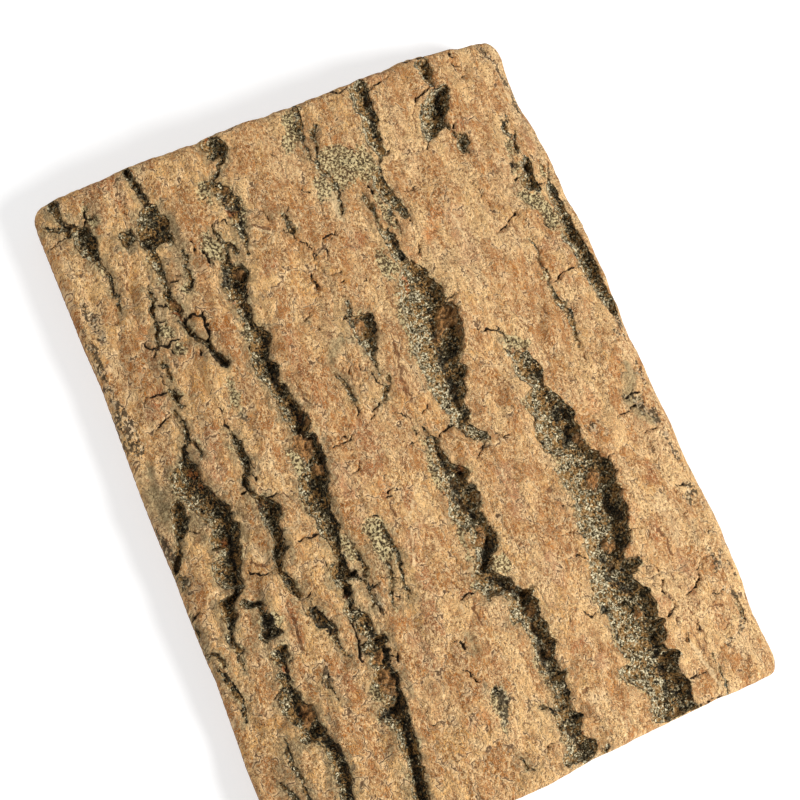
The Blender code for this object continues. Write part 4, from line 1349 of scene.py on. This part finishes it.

    # Furrows: pale on the lit left side, black in the deep; painted light on the left and painted shade in the deep
    furrow = inside("bank", crumbly, 0.8, -0.03, 0.04)
    share = g.add(g.attr("share"), g.mul(g.sub(soft, 0.5), 1.4))
    # Painted light: the floor is paler on its left side, which faces the key lamp
    lit = g.step(share, 0.85, 0.1)
    tone = g.add(g.mul(dice.outputs[0], 0.3), g.mul(g.add(salt, g.step(grit, 0.3, 0.7)), 0.36))
    tone = g.add(tone, g.add(g.mul(g.sub(rag, 0.5), 0.8), g.mul(g.step(across, -2.0, -14.0), -0.1)))
    tone = g.add(g.sub(tone, 0.14), g.add(g.mul(lit, 0.22), g.mul(g.step(g.attr("bank"), 0.9, 0.3), 0.07)))
    floor = g.mix(g.step(tone, 0.18, 0.42), linear(26, 23, 16), linear(92, 79, 50))
    floor = g.mix(g.step(tone, 0.44, 0.56), floor, linear(134, 116, 80))
    floor = g.mix(g.step(tone, 0.6, 0.71), floor, linear(228, 214, 176))
    # Painted shade in the gaps between the crumbs
    floor = g.mix(g.mul(apart, 0.5), floor, linear(28, 24, 17))
    golden = g.mul(g.step(g.add(soft, g.mul(dice.outputs[1], 0.3)), 0.64, 0.74), g.step(tone, 0.12, 0.3))
    floor = g.mix(g.mul(golden, 0.6), floor, linear(166, 122, 66))
    glow = g.mul(inside("orange", crumbly, 1.4, -0.2, 0.2), g.step(tone, 0.15, 0.4))
    floor = g.mix(g.mul(glow, 0.75), floor, linear(176, 104, 52))
    brown = g.mix(g.step(fine, 0.36, 0.62), linear(92, 64, 36), linear(178, 128, 76))
    floor = g.mix(g.mul(inside("island", crumbly, 1.0, -0.1, 0.15), 0.8), floor, brown)
    # Painted shade: near-black in the deepest parts and along the right walls
    floor = g.mix(g.mul(inside("shade_core", crumbly, 1.3, 0.06, 0.18), 0.7), floor, linear(16, 14, 10))
    face = g.mix(furrow, plate, floor)

    # Cut sides: thin layers
    layers = g.noise(g.stretch(mm, 0.25, 0.25, 2.6), 1.0, 3.0, 0.65, 0.0, "3D")
    side = g.mix(g.step(layers, 0.35, 0.65), linear(126, 80, 52), linear(190, 144, 98))
    side = g.mix(g.mul(g.step(rag, 0.5, 0.75), 0.5), side, linear(210, 174, 130))
    top = g.step(g.add(g.attr("top"), g.mul(g.sub(rag, 0.5), 0.5)), 0.3, 0.7)
    colour = g.mix(top, side, face)

    # Inner face: pale fibres
    fibres = g.noise(g.stretch(mm, 1.6, 0.06, 1.0), 1.0, 3.0, 0.6)
    inner = g.mix(g.step(fibres, 0.35, 0.65), linear(150, 102, 68), linear(196, 154, 110))
    normal = g.node("ShaderNodeNewGeometry").outputs["Normal"]
    down = g.node("ShaderNodeSeparateXYZ", None, Vector=normal).outputs[2]
    colour = g.mix(g.step(down, -0.55, -0.85), colour, inner)

    g.set(shader.inputs["Base Color"], colour)
    g.set(shader.inputs["Roughness"], 0.9)
    shader.inputs["Specular IOR Level"].default_value = 0.2
    height = g.add(g.add(g.mul(fine, 0.26), g.mul(grit, 0.1)), g.add(g.mul(g.add(shelf, g.step(lip, 0.0, 0.25)), 0.13), g.mul(chip, 0.14)))
    height = g.add(height, g.add(g.mul(flake, 0.22), g.mul(g.step(gap, 0.0, 0.2), 0.12)))
    low = g.step(g.attr("bank"), -0.05, 0.15)
    height = g.mul(height, g.sub(1.0, g.mul(low, 0.8)))
    height = g.add(height, g.mul(g.add(g.mul(lumpy, 0.5), g.mul(grit, 0.1)), low))
    bump = g.node("ShaderNodeBump", None, Strength=1.0, Distance=0.001, Height=height)
    g.set(shader.inputs["Normal"], bump.outputs[0])
    return material


mesh.materials.clear()
mesh.materials.append(bark_material())
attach(piece, "root")
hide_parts("bark_slab")


# --- floor, light and camera --------------------------------------------------------------------------
def floor():
    bpy.ops.mesh.primitive_plane_add(size=6.0)
    plane = bpy.context.active_object
    plane.name = "floor"
    material = bpy.data.materials.new("floor")
    material.use_nodes = True
    shader = material.node_tree.nodes["Principled BSDF"]
    shader.inputs["Base Color"].default_value = (0.6, 0.6, 0.6, 1.0)
    shader.inputs["Emission Color"].default_value = (1.0, 1.0, 1.0, 1.0)
    shader.inputs["Emission Strength"].default_value = 0.5
    shader.inputs["Roughness"].default_value = 0.9
    plane.data.materials.append(material)
    plane.location.z = -0.0002


def lamp(name, across, up, out, size, power):
    """An area light around the slab's middle: picture right, picture up and out of the face, in metres."""
    spot_at = Vector(RIGHT * across + UP * up - FORWARD * out)
    data = bpy.data.lights.new(name, "AREA")
    data.shape = "DISK"
    data.size = size
    data.energy = power
    obj = bpy.data.objects.new(name, data)
    obj.location = spot_at
    obj.rotation_euler = (-spot_at).to_track_quat("-Z", "Y").to_euler()
    bpy.context.scene.collection.objects.link(obj)


def world():
    made = bpy.data.worlds.new("studio")
    made.use_nodes = True
    made.node_tree.nodes["Background"].inputs[0].default_value = (1.0, 1.0, 1.0, 1.0)
    made.node_tree.nodes["Background"].inputs[1].default_value = 0.34
    bpy.context.scene.world = made


def camera():
    data = bpy.data.cameras.new("camera")
    data.sensor_width = 36.0
    data.lens = 36.0 * FOCAL / 800.0
    data.clip_start = 0.01
    obj = bpy.data.objects.new("camera", data)
    turn = Matrix([RIGHT, UP, -FORWARD]).transposed().to_4x4()
    at = (EYE - np.array([*shift, 0.0])) / 1000.0
    obj.matrix_world = Matrix.Translation(Vector(at)) @ turn
    bpy.context.scene.collection.objects.link(obj)
    bpy.context.scene.camera = obj


floor()
lamp("key", 0.48, -0.08, 0.36, 0.24, 4.9)
lamp("fill", -0.35, 0.3, 0.5, 0.5, 1.5)
world()
camera()
bpy.context.scene.view_settings.view_transform = "Standard"
